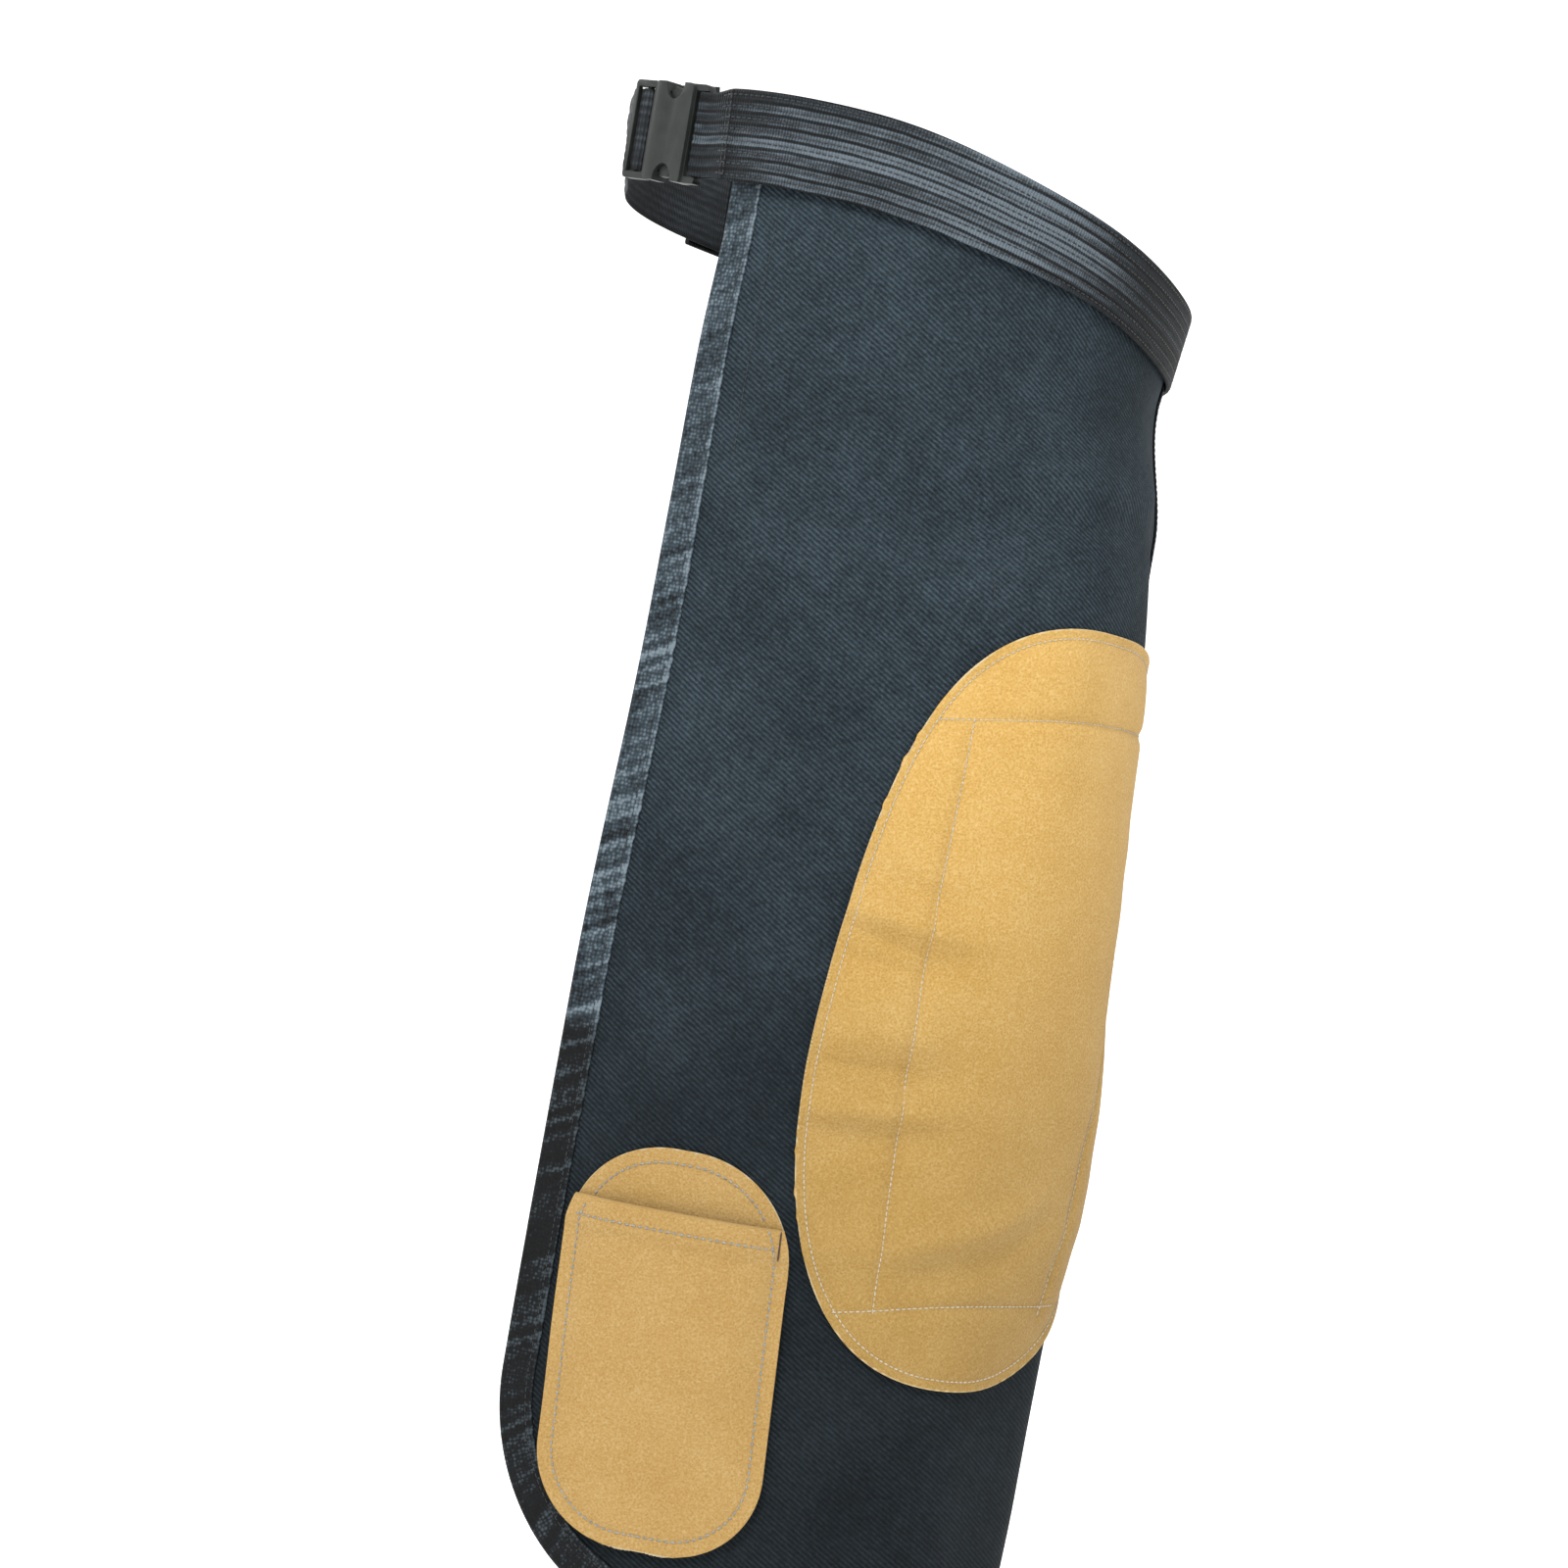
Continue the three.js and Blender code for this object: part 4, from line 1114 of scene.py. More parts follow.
@dataclass
class LegPanel:
    """A leg's twill panel and the binding tape folded over its edge."""

    surface: PanelSurface
    finishes: Finishes
    fold: Fold = Fold()
    under_belt: float = 0.008
    tape_from_top: float = 0.024
    tape_width: float = 0.0165
    tape_thick: float = 0.0010
    tape_step: float = 0.0021
    slack: float = 0.0002
    slit_top: float = -0.243
    # The height below which the tape's lower end is painted in shade.
    painted_shade_top: float = -0.427

    def top(self, share: Array) -> Array:
        """The height of the panel's top edge under the belt, at shares of its width."""
        some = np.linspace(0, 1, 81)
        heights = self.surface.height_where(some, lambda p: BELT.height(p[..., 1]) + self.under_belt)
        return np.interp(share, some, heights)

    def panel(self) -> bpy.types.Object:
        """The panel, in one piece from the belt to the hem."""
        surface, sign, word = self.surface, -self.surface.side.value, self.surface.side.word
        hem_width = float(surface.width(surface.hem))

        def shape(u: Array, v: Array) -> tuple[Array, Array]:
            """The cloth's points and pattern."""
            foot = surface.hem + surface.hem_rise(u * hem_width, hem_width)
            z = mix(foot, self.top(u), v)
            along = u * surface.width(z)
            return surface.point(along, z), np.stack([sign * along, z], 1)

        piece = grid_patch(f"{word}_leg_panel", 132, 150, shape)
        face_outwards(piece, surface, 0.2, -0.4)
        thicken(piece, PANEL_THICK)
        self.finishes.twill.dress(piece)
        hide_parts(f"{word}_panel_hip", f"{word}_panel_fold", f"{word}_panel_leg")
        flat = (hem_width, float(self.top(np.array([0.5]))[0]) - surface.hem)
        self.area()
        self.fold.share(piece, surface.side)
        return piece

    def area(self) -> float:
        """The panel's cut area."""
        hem_width = float(self.surface.width(self.surface.hem))
        share = np.linspace(0, 1, 200)
        foot = self.surface.hem + self.surface.hem_rise(share * hem_width, hem_width)
        z = mix(foot[:, None], self.top(share)[:, None], np.linspace(0, 1, 60)[None])
        width = self.surface.width(z).mean(1)
        return float(((self.top(share) - foot) * width).mean())

    def edge(self) -> tuple[Array, Array]:
        """The panel's bound edge, from under the belt, round the hem, to the slit's top.

        Returns:
            The edge's [along, z] and the direction into the cloth at each place.
        """
        s = self.surface
        width, start = float(s.width(s.hem)), self.top(np.array([0.0]))[0] - self.tape_from_top
        outer = [(0.0, z) for z in np.linspace(start, s.hem + s.outer_corner, 60)]

        def corner(radius: float, turn: float) -> tuple[float, float]:
            """A round corner's distance from the panel's edge, and its height."""
            return radius * (1 - math.cos(turn)), s.hem + radius * (1 - math.sin(turn))

        turns = np.radians(np.linspace(0, 90, 40))
        big = [corner(s.outer_corner, turn) for turn in turns]
        small = [(width - d, z) for d, z in (corner(s.inner_corner, turn) for turn in turns[::-1])]
        inner = [(float(s.width(z)), z) for z in np.linspace(s.hem + s.inner_corner, self.slit_top, 60)]
        line = even_path(np.array(outer[:-1] + big + small[1:] + inner[1:]), self.tape_step)
        ahead = unit(np.gradient(line, axis=0))
        return line, np.stack([-ahead[:, 1], ahead[:, 0]], 1)

    def section(self) -> Array:
        """The folded tape's outline, as [depth into the cloth, distance out] in metres."""
        w, t, cloth, slack = self.tape_width, self.tape_thick, PANEL_THICK, self.slack
        outer = cloth + slack
        face = [(share * w, outer + t) for share in (0.70, 0.55, 0.40, 0.25, 0.12)]
        points = [
            (w, outer), (w, outer + 0.8 * t), (w - 0.0006, outer + t), (w - 0.003, outer + t), *face,
            (-0.0002, outer + 0.9 * t), (-0.0012, cloth * 0.85), (-0.0014, cloth * 0.4), (-0.0009, -0.0004),
            (0.12 * w, -slack - t), (0.5 * w, -slack - t), (w - 0.0006, -slack - t), (w, -slack - 0.7 * t),
            (w, -slack), (0.5 * w, -slack), (0.02 * w, -0.00015), (-0.0003, cloth * 0.5),
            (0.02 * w, outer - 0.00005), (0.5 * w, outer),
        ]
        return np.array(points)

    def tape(self) -> bpy.types.Object:
        """The binding tape, puckered by its stitching."""
        surface, word = self.surface, self.surface.side.word
        line, into = self.edge()
        section = self.section()
        stations, ring = len(line), len(section)
        step = lengths_along(line)
        rng = np.random.default_rng(7 if surface.side is Side.RIGHT else 11)
        coarse = rng.uniform(-1, 1, stations // 2 + 4)
        fine = rng.uniform(-1, 1, stations + 4)
        drawn = np.interp(np.arange(stations) / 2, np.arange(len(coarse)), coarse)
        pucker = 0.65 * drawn + 0.35 * fine[:stations]
        pucker = pucker + 0.35 * np.sin(step / 0.0075 * 2 * math.pi + 2 * np.sin(step / 0.05))

        def shape(u: Array, v: Array) -> tuple[Array, Array]:
            """The tape's points and pattern."""
            i = np.rint(u * (stations - 1)).astype(int)
            j = np.rint(v * ring).astype(int) % ring
            depth, out = section[j, 0], section[j, 1]
            on_face = (out > PANEL_THICK) & (depth > -0.0005)
            bulge = np.sin(np.clip(depth / self.tape_width, 0, 1) * math.pi) ** 0.6
            out = out + np.where(on_face, 0.00042 * pucker[i] * bulge, 0.0)
            depth = depth + np.where(np.abs(depth - self.tape_width) < 1e-6, 0.0003 * pucker[i], 0.0)
            at = line[i] + into[i] * depth[:, None]
            return surface.point(at[:, 0], at[:, 1], out), np.stack([depth, step[i]], 1)

        piece = grid_patch(f"{word}_edge_binding", stations - 1, ring, shape)
        cells_u, cells_v = cell_shares(piece, stations, ring)
        depth, z = section[cells_v, 0], line[cells_u, 1]
        pale = np.exp(-(((depth - 0.93 * self.tape_width) / 0.0012) ** 2))
        slanted = np.clip(cells_u + np.rint(0.45 * depth / self.tape_step).astype(int), 0, stations - 1)
        drawn_up = 0.30 + 0.35 * (1 - ease(z, -0.21, -0.15))
        set_attribute(piece, "rib", 0.45 + drawn_up * pucker[slanted] + 0.50 * pale)
        # Painted shade over the tape's lower end.
        set_attribute(piece, "fade", 1 - ease(z, self.painted_shade_top - 0.008, self.painted_shade_top + 0.006))
        close_tube(piece)
        self.finishes.tape.dress(piece)
        bound = [f"{word}_edge_tape_hip", f"{word}_edge_tape_fold", f"{word}_edge_tape_leg"]
        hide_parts(*bound, f"{word}_split_tape_fold")
        self.fold.share(piece, surface.side)
        return piece

    def on_cloth(self, along: Array, z: Array) -> tuple[Array, Array]:
        """A line on the panel's face, as points and normals."""
        return self.surface.point(along, z, PANEL_THICK), self.surface.normal(along, z)

    def stitches(self) -> bpy.types.Object:
        """The dark stitches that hold the tape near its selvage, a short second row near the
        belt, and the snagged thread on the right thigh."""
        surface = self.surface
        line, into = self.edge()
        at = line[3:-3] + into[3:-3] * (0.80 * self.tape_width)
        out = PANEL_THICK + self.slack + self.tape_thick
        points, normals = surface.point(at[:, 0], at[:, 1], out), surface.normal(at[:, 0], at[:, 1])
        second = self.on_cloth(np.linspace(0.0285, 0.030, 60), np.linspace(-0.030, -0.150, 60))
        lines = [(points, normals), second]
        if surface.side is Side.RIGHT:
            wavy = 0.164 + 0.0006 * np.sin(np.arange(30))
            lines.append(self.on_cloth(wavy, np.linspace(-0.186, -0.196, 30)))
        piece = TAPE_THREAD.sew(f"{surface.side.word}_tape_stitches", lines)
        self.finishes.dark_thread.dress(piece)
        self.fold.share(piece, surface.side)
        return piece


@dataclass
class SewnLeather:
    """Leather cut flat and sewn on a leg panel. Subclasses give its outline and its place."""

    surface: PanelSurface
    finishes: Finishes
    along: float = 0.0
    z: float = 0.0
    thick: float = 0.0014
    margin: float = 0.0050
    cut_edge: float = 0.0011
    rounding: float = 0.00035

    def outline(self) -> Array:
        """The cut leather's outline round its middle."""
        raise NotImplementedError

    def place(self, flat: Array) -> Array:
        """Where points of the cut leather lie on the panel, as [along, z]."""
        raise NotImplementedError

    def sewn(self, flat: Array, out: Array) -> tuple[Array, Array]:
        """A line on the leather, as its points and normals."""
        along, z = self.place(flat).T
        return self.surface.point(along, z, out), self.surface.normal(along, z)

    def cut(self, name: str, columns: int, rows: int, out: Callable[[Array], Array]) -> bpy.types.Object:
        """A whole piece of leather inside the outline, with its cut edge marked.

        Args:
            name: the piece's name.
            columns: faces across.
            rows: faces down.
            out: takes points of the cut leather, and returns how far out its underside lies.

        Returns:
            The piece.
        """
        surface, outline = self.surface, self.outline()
        flat_at: list[Array] = []

        def shape(u: Array, v: Array) -> tuple[Array, Array]:
            """The leather's points and pattern."""
            flat = star_outline(outline, 2 * u - 1, 2 * v - 1)
            flat_at.append(flat)
            spot = self.place(flat)
            return surface.point(spot[:, 0], spot[:, 1], out(flat)), spot * [-surface.side.value, 1]

        piece = grid_patch(name, columns, rows, shape)
        face_outwards(piece, surface, self.along, self.z)
        rim = distance_to(outline, flat_at[0])
        set_attribute(piece, "edge", np.clip(1 - rim / self.cut_edge, 0, 1))
        return thicken(piece, self.thick, 1.0, self.rounding)


@dataclass
class KneePatch(SewnLeather):
    """The split-leather patch over a knee, quilted through to a lining behind the panel.

    seams are the quilting lines as shares of the patch's half-width and half-height from its
    middle, and folds are the creases that the leather has of its own.
    """

    fold: Fold = Fold()
    along: float = 0.228
    z: float = -0.387
    half_width: float = 0.106
    half_height: float = 0.187
    lean: float = 0.075
    lift: float = 0.0018
    puff: float = 0.0024
    lining_low: tuple[float, float] = (0.160, -0.538)
    lining_high: tuple[float, float] = (0.296, -0.247)
    lining_thick: float = 0.0011
    lining_out: float = -0.0028
    seams: tuple[tuple[tuple[float, float], ...], ...] = (
        ((-0.84, 0.70), (-0.10, 0.76), (0.78, 0.76)),
        ((-0.68, 0.72), (-0.58, 0.05), (-0.42, -0.83)),
        ((0.62, 0.77), (0.61, 0.0), (0.48, -0.79)),
        ((-0.60, -0.84), (-0.05, -0.78), (0.62, -0.76)),
    )
    folds: tuple[Crease, ...] = (
        Crease(146, -338, -8, 56, 8, -1.6),
        Crease(150, -353, -8, 62, 7, 4.2),
        Crease(146, -370, -9, 54, 8, -2.6),
        Crease(156, -396, -2, 56, 9, 1.6),
        Crease(152, -410, 3, 56, 8, 2.4),
        Crease(150, -430, 4, 58, 7, -2.4),
        Crease(152, -446, 5, 60, 7, 5.0),
        Crease(150, -462, 6, 50, 8, -1.8),
        Crease(208, -498, 22, 62, 7, 4.6),
        Crease(214, -514, 24, 60, 8, -3.0),
        Crease(176, -520, 24, 46, 8, 1.6),
        Crease(250, -500, 14, 66, 9, 1.6),
        Crease(250, -300, -3, 76, 11, 0.9),
    )

    def outline(self) -> Array:
        """The patch's outline round its middle, fuller above than below."""
        turn = np.radians(np.linspace(0, 360, 721)[:-1])
        c, s = np.cos(turn), np.sin(turn)
        power = np.where(s > 0, 3.1, 2.4)
        reach = (np.abs(c) ** power + np.abs(s) ** power) ** (-1 / power)
        return np.stack([self.half_width * c * reach, self.half_height * s * reach], 1)

    def place(self, flat: Array) -> Array:
        """Where points of the cut patch lie on the panel, as [along, z]."""
        z = self.z + flat[:, 1]
        return np.stack([self.along + self.lean * flat[:, 1] + flat[:, 0], z], 1)

    def seam_lines(self) -> list[Array]:
        """The quilting lines on the cut patch."""
        size = np.array([self.half_width, self.half_height])
        return [dense([tuple(np.array(p) * size) for p in seam]) for seam in self.seams]

    def height(self, flat: Array) -> Array:
        """How far the patch's underside stands out from the panel's inner face."""
        rim = distance_to(self.outline(), flat)
        puff = self.puff * (1 - np.exp(-np.clip(rim - self.margin, 0, 1) / 0.014))
        lip = 0.0013 * np.clip(1 - rim / self.margin, 0, 1) ** 1.4
        dent = np.zeros(len(flat))
        for line in self.seam_lines():
            dent = np.maximum(dent, np.exp(-((distance_to(line, flat) / 0.0034) ** 2)))
        ripple = 0.0004 * np.sin(flat[:, 1] / 0.0115) * np.exp(-np.abs(rim - self.margin) / 0.012)
        spot = self.place(flat)
        crumple = sum(fold.lift(spot[:, 0], spot[:, 1]) for fold in self.folds)
        held = 1 - np.exp(-((rim / 0.012) ** 2)) * 0.35
        quilted = (puff + ripple) * (1 - 0.86 * dent)
        return self.lift + lip + quilted + np.maximum(crumple * held, -0.6 * puff - 0.0004)

    def leather(self) -> bpy.types.Object:
        """The leather, with its stitched margin, quilted hollows and folds."""
        word, outline = self.surface.side.word, self.outline()
        piece = self.cut(f"{word}_knee_patch_leather", 112, 190, self.height)
        self.finishes.leather.dress(piece)
        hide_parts(f"{word}_knee_patch")
        self.fold.share(piece, self.surface.side)
        return piece

    def stitches(self) -> bpy.types.Object:
        """The pale stitching round the patch and along its quilting lines."""
        outline = self.outline()
        shrink = 1 - self.margin / np.hypot(outline[:, 0], outline[:, 1])
        lines = [np.vstack([outline * shrink[:, None], outline[:1] * shrink[0]]), *self.seam_lines()]
        made = [self.sewn(flat, self.height(flat) + self.thick) for flat in lines]
        piece = FINE_THREAD.sew(f"{self.surface.side.word}_knee_patch_stitches", made)
        self.finishes.pale_thread.dress(piece)
        self.fold.share(piece, self.surface.side)
        return piece

    def lining(self) -> bpy.types.Object:
        """The cloth behind the panel that the quilting is sewn through to."""
        surface, word = self.surface, self.surface.side.word
        low, high = self.lining_low, self.lining_high

        def shape(u: Array, v: Array) -> tuple[Array, Array]:
            """The lining's points and pattern."""
            along, z = mix(low[0], high[0], u), mix(low[1], high[1], v)
            loose = 0.0006 * np.sin(u * math.pi) * np.sin(v * math.pi)
            return surface.point(along, z, self.lining_out - loose), np.stack([along, z], 1)

        piece = grid_patch(f"{word}_knee_lining_cloth", 44, 90, shape)
        face_outwards(piece, surface, self.along, self.z)
        thicken(piece, self.lining_thick, -1.0, 0.0003)
        self.finishes.lining.dress(piece)
        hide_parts(f"{word}_knee_lining")
        self.fold.share(piece, surface.side)
        return piece


@dataclass
class ToolPocket(SewnLeather):
    """The leather pocket on a shin: a backing, and a front with a folded and sewn mouth."""

    along: float = 0.077
    z: float = -0.576
    width: float = 0.109
    height: float = 0.192
    top_round: float = 0.050
    bottom_round: float = 0.044
    mouth: float = 0.030
    mouth_turn: float = 0.0009
    hem: float = 0.0105
    lean: float = 0.05
    bulge: float = 0.0042
    gap: float = 0.0003
    margin: float = 0.0070

    def half_width(self, down: Any) -> Any:
        """Half the pocket's width at distances below its top."""
        down = np.asarray(down, float)

        def cut(radius: float, d: Array) -> Array:
            """What a round corner takes off at a distance from its end."""
            inside = np.clip(radius - d, 0, radius)
            return radius - np.sqrt(radius**2 - inside**2)

        return self.width / 2 - cut(self.top_round, down) - cut(self.bottom_round, self.height - down)

    def outline(self) -> Array:
        """The pocket's outline round its middle."""
        top = self.top_round * (1 - np.cos(np.radians(np.linspace(0, 90, 60))))
        foot = self.height - self.bottom_round * (1 - np.cos(np.radians(np.linspace(90, 0, 60))))
        down = np.concatenate([top, np.linspace(top[-1], foot[0], 60)[1:-1], foot])
        half = self.half_width(down)
        y = self.height / 2 - down
        right = np.stack([half, y], 1)
        left = np.stack([-half, y], 1)[::-1]
        bottom = np.stack([np.linspace(half[-1], -half[-1], 12)[1:-1], np.full(10, y[-1])], 1)
        head = np.stack([np.linspace(-half[0], half[0], 6)[1:-1], np.full(4, y[0])], 1)
        return np.vstack([right, bottom, left, head])

    def place(self, flat: Array) -> Array:
        """Where points of the cut leather lie on the panel, as [along, z]."""
        return np.stack([self.along + flat[:, 0] - self.lean * flat[:, 1], self.z + flat[:, 1]], 1)

    def backing_out(self, flat: Array) -> Array:
        """How far the backing's underside stands out from the panel's inner face."""
        rim = distance_to(self.outline(), flat)
        return PANEL_THICK + 0.0003 + 0.0008 * np.clip(1 - rim / self.margin, 0, 1) ** 1.4

    def front_out(self, flat: Array) -> Array:
        """How far the front's underside stands out: on the backing at its seam, and off it inside."""
        down = self.height / 2 - flat[:, 1]
        half = np.maximum(self.half_width(down), 0.004)
        across = 1 - np.abs(np.clip(flat[:, 0] / half, -1, 1)) ** 3
        rim = distance_to(self.outline(), flat)
        shut = ease(down, self.height * 0.40, self.height * 0.97)
        swell = self.bulge * ease(across, 0.15, 0.95) * (1 - shut)
        base = self.backing_out(flat) + self.thick + self.gap
        ripple = 0.00035 * np.sin(flat[:, 1] / 0.012 + 1) * np.exp(-rim / 0.02)
        dent = 0.0004 * np.exp(-(((rim - self.margin) / 0.0022) ** 2))
        return base + np.maximum(swell + ripple + 0.0005 - dent, 0.00005)

    def face_out(self, flat: Array, hem: Any) -> Array:
        """How far the front's face stands out, where a share of its hem lies behind it."""
        return self.front_out(flat) + 2 * self.mouth_turn * hem + self.thick

    def backing(self) -> bpy.types.Object:
        """The backing, whose top shows over the mouth."""
        name = f"{self.surface.side.word}_pocket_backing_leather"
        return self.settle(self.cut(name, 60, 100, self.backing_out), "pocket_backing")

    def front(self) -> bpy.types.Object:
        """The front: one sheet that turns over at the mouth and runs down inside as a hem."""
        surface = self.surface
        foot = self.height - self.bottom_round * (1 - np.cos(np.radians(np.linspace(90, 1, 26))))
        face = np.concatenate([np.linspace(self.mouth + self.mouth_turn, foot[0], 70)[:-1], foot])
        bend = np.radians(np.linspace(180, 0, 7))
        over = self.mouth + self.mouth_turn * (1 - np.sin(bend))
        inside = np.linspace(self.mouth + self.hem, self.mouth + self.mouth_turn, 8)[:-1]
        down = np.concatenate([inside, over, face[1:]])
        drop = np.concatenate([np.full(len(inside), 1.0), 0.5 - 0.5 * np.cos(bend), np.zeros(len(face) - 1)])
        rows = len(down)

        def shape(u: Array, v: Array) -> tuple[Array, Array]:
            """The front's points and pattern."""
            i = np.rint((1 - v) * (rows - 1)).astype(int)
            below, inner = down[i], drop[i]
            across = (2 * u - 1) * self.half_width(below) * (1 - 0.004 * inner)
            flat = np.stack([across, self.height / 2 - below], 1)
            along, z = self.place(flat).T
            turned = (1 - inner) * 2 * self.mouth_turn * self.fold_share(flat)
            out = self.front_out(flat) + self.thick / 2 + turned
            walked = self.z + self.height / 2 - below + inner * 0.02
            return surface.point(along, z, out), np.stack([along * -surface.side.value, walked], 1)

        piece = grid_patch(f"{surface.side.word}_pocket_front_leather", 58, rows - 1, shape)
        face_outwards(piece, surface, self.along, self.z)
        above_foot = np.abs(vertices_of(piece)[:, 2] - (self.z - self.height / 2))
        set_attribute(piece, "edge", np.clip(1 - above_foot / 0.0012, 0, 1))
        thicken(piece, self.thick, 0.0, self.rounding)
        return self.settle(piece, "pocket_front")

    def fold_share(self, flat: Array) -> Array:
        """1 where the hem lies behind the front, and 0 well below it."""
        down = self.height / 2 - flat[:, 1]
        return 1 - ease(down, self.mouth + self.hem, self.mouth + self.hem + 0.008)

    def settle(self, piece: bpy.types.Object, node: str) -> bpy.types.Object:
        """Dresses a leather piece and puts it on its leg."""
        word = self.surface.side.word
        self.finishes.pocket_leather.dress(piece)
        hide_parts(f"{word}_{node}")
        cut = self.height if node.endswith("backing") else self.height - self.mouth + self.hem
        down = np.linspace(self.height - cut if node.endswith("backing") else self.mouth, self.height, 400)
        area = float((2 * self.half_width(down)).mean() * (down[-1] - down[0]))
        if not node.endswith("backing"):
            area += 2 * float(self.half_width(self.mouth)) * self.hem
        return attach(piece, f"{word}_leg")

    def stitches(self) -> list[bpy.types.Object]:
        """The perimeter and mouth stitching, and the bar tack at the mouth's front end."""
        word, outline = self.surface.side.word, self.outline()
        turned = np.roll(outline, -1, 0) - np.roll(outline, 1, 0)
        inward = unit(np.stack([turned[:, 1], -turned[:, 0]], 1))
        if (inward * outline).sum() > 0:
            inward = -inward
        ring = even_path(outline + inward * self.margin, 0.001)
        ring = np.vstack([ring, ring[:1]])
        below = self.height / 2 - ring[:, 1] > self.mouth
        lines = []
        cuts = np.flatnonzero(np.diff(below.astype(int))) + 1
        for part in np.split(np.arange(len(ring)), cuts):
            if len(part) < 4:
                continue
            flat = ring[part]
            on_front = self.face_out(flat, self.fold_share(flat))
            lines.append(self.sewn(flat, on_front if below[part[0]] else self.backing_out(flat) + self.thick))
        down = self.mouth + self.hem - 0.0015
        half = float(self.half_width(down)) - 0.004
        mouth = np.stack([np.linspace(-half, half, 120), np.full(120, self.height / 2 - down)], 1)
        lines.append(self.sewn(mouth, self.face_out(mouth, self.fold_share(mouth))))
        seam = POCKET_THREAD.sew(f"{word}_pocket_stitches", lines)
        self.finishes.grey_thread.dress(seam)
        fall = self.height / 2 - self.mouth - np.linspace(0.0012, 0.0135, 16)
        tack = np.stack([np.full(16, half - 0.0005), fall], 1)
        bar = TACK_THREAD.sew(f"{word}_pocket_bar_tack", [self.sewn(tack, self.face_out(tack, 1.0))])
        self.finishes.brown_thread.dress(bar)
        for piece in (seam, bar):
            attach(piece, f"{word}_leg")
        return [seam, bar]


# ---------------------------------------------------------------- buckles, belt and straps


@dataclass(frozen=True)
class LadderBuckle:
    """Sizes that the straps need of the pattern buckle, in its own x and z, in metres."""

    gap: float = 0.0003
    bar_edge: float = 0.0190
    bar_half: float = 0.0013
    half_thick: float = 0.0055
    base: float = -0.0270
    face: float = -0.0238
    middle_bar: tuple[float, float] = (-0.0366, -0.0334)
    end_bar: tuple[float, float] = (-0.0452, -0.0424)

    def round_the_bar(self, thick: float, size: tuple[float, float, float]) -> list[tuple[float, float]]:
        """How a strap turns round the socket's bar, from outside to inside, as [x, z]."""
        clear = self.gap + thick / 2 + 0.00015
        edge, half = self.bar_edge * size[0], self.bar_half * size[2]
        turns = np.radians([90, 120, 150, 180])
        turn = [(edge + clear * math.cos(a), half + clear * math.sin(a)) for a in turns]
        back = [(x, -z) for x, z in reversed(turn)]
        return [(edge + 0.007, half + clear), *turn, *back, (edge + 0.007, -half - clear)]

    def through_the_ladder(self, thick: float, size: tuple[float, float, float]) -> list[tuple[float, float]]:
        """How a strap weaves through the plug's ladder, as [x, z]."""
        clear = self.gap + thick / 2 + 0.0001
        under, over, base = 0.0002 * size[2] - clear, 0.0008 * size[2] + clear, -0.003 * size[2] - clear
        body = -self.half_thick * size[2] - clear
        woven = [
            (-0.051, under - 0.0007), (-0.047, under - 0.0002), (self.end_bar[0], under),
            (self.end_bar[1], under), (-0.0396, (under + over) / 2), (self.middle_bar[0], over),
            (self.middle_bar[1] + 0.0004, over), (-0.0306, mix(over, base, 0.4)),
            (self.base - 0.0005, base - 0.0001), (self.base + 0.001, base - 0.0005),
            (self.face - 0.0008, body - 0.0003), (self.face + 0.003, body - 0.0007),
        ]
        return [(x * size[0], z) for x, z in woven]


BUCKLE = LadderBuckle()
BELT_BUCKLE_SIZE = (0.7, 1.0, 1.0)


def moulded_copy(node: str, name: str, edge: float) -> bpy.types.Object:
    """A copy of a rigid part with its sharp edges rounded as a mould leaves them.

    Args:
        node: the part that it copies and stands for.
        name: the copy's name.
        edge: the radius of the rounding.

    Returns:
        The copy.
    """
    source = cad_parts[node]
    mesh = source.data.copy()
    piece = bpy.data.objects.new(name, mesh)
    bpy.context.scene.collection.objects.link(piece)
    mesh.name = name
    if mesh.attributes.get("custom_normal"):
        mesh.attributes.remove(mesh.attributes["custom_normal"])
    take_up(piece)
    bpy.ops.object.mode_set(mode="EDIT")
    bpy.ops.mesh.select_all(action="SELECT")
    bpy.ops.mesh.remove_doubles(threshold=2e-6)
    bpy.ops.mesh.dissolve_limited(angle_limit=math.radians(4))
    bpy.ops.object.mode_set(mode="OBJECT")
    with_modifier(
        piece, "BEVEL", width=edge, segments=2, limit_method="ANGLE", angle_limit=math.radians(38),
        use_clamp_overlap=True, harden_normals=False,
    )
    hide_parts(node)
    return smooth(piece, 32)


@dataclass
class SideReleaseBuckle:
    """A side-release buckle's four moulded parts, each on its own body."""

    prefix: str
    bodies: str
    anchor: str
    finishes: Finishes
    edge: float = 0.0005

    def build(self) -> list[bpy.types.Object]:
        """Makes the socket, the plug and its two spring arms."""
        parts = {
            "buckle_socket": self.anchor,
            "buckle_plug": f"{self.bodies}_plug",
            "buckle_arm_upper": f"{self.bodies}_arm_upper",
            "buckle_arm_lower": f"{self.bodies}_arm_lower",
        }
        made = []
        for part, body in parts.items():
            piece = moulded_copy(f"{self.prefix}_{part}", f"{self.prefix}_{part}_moulding", self.edge)
            self.finishes.plastic.dress(piece)
            made.append(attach(piece, body))
        return made


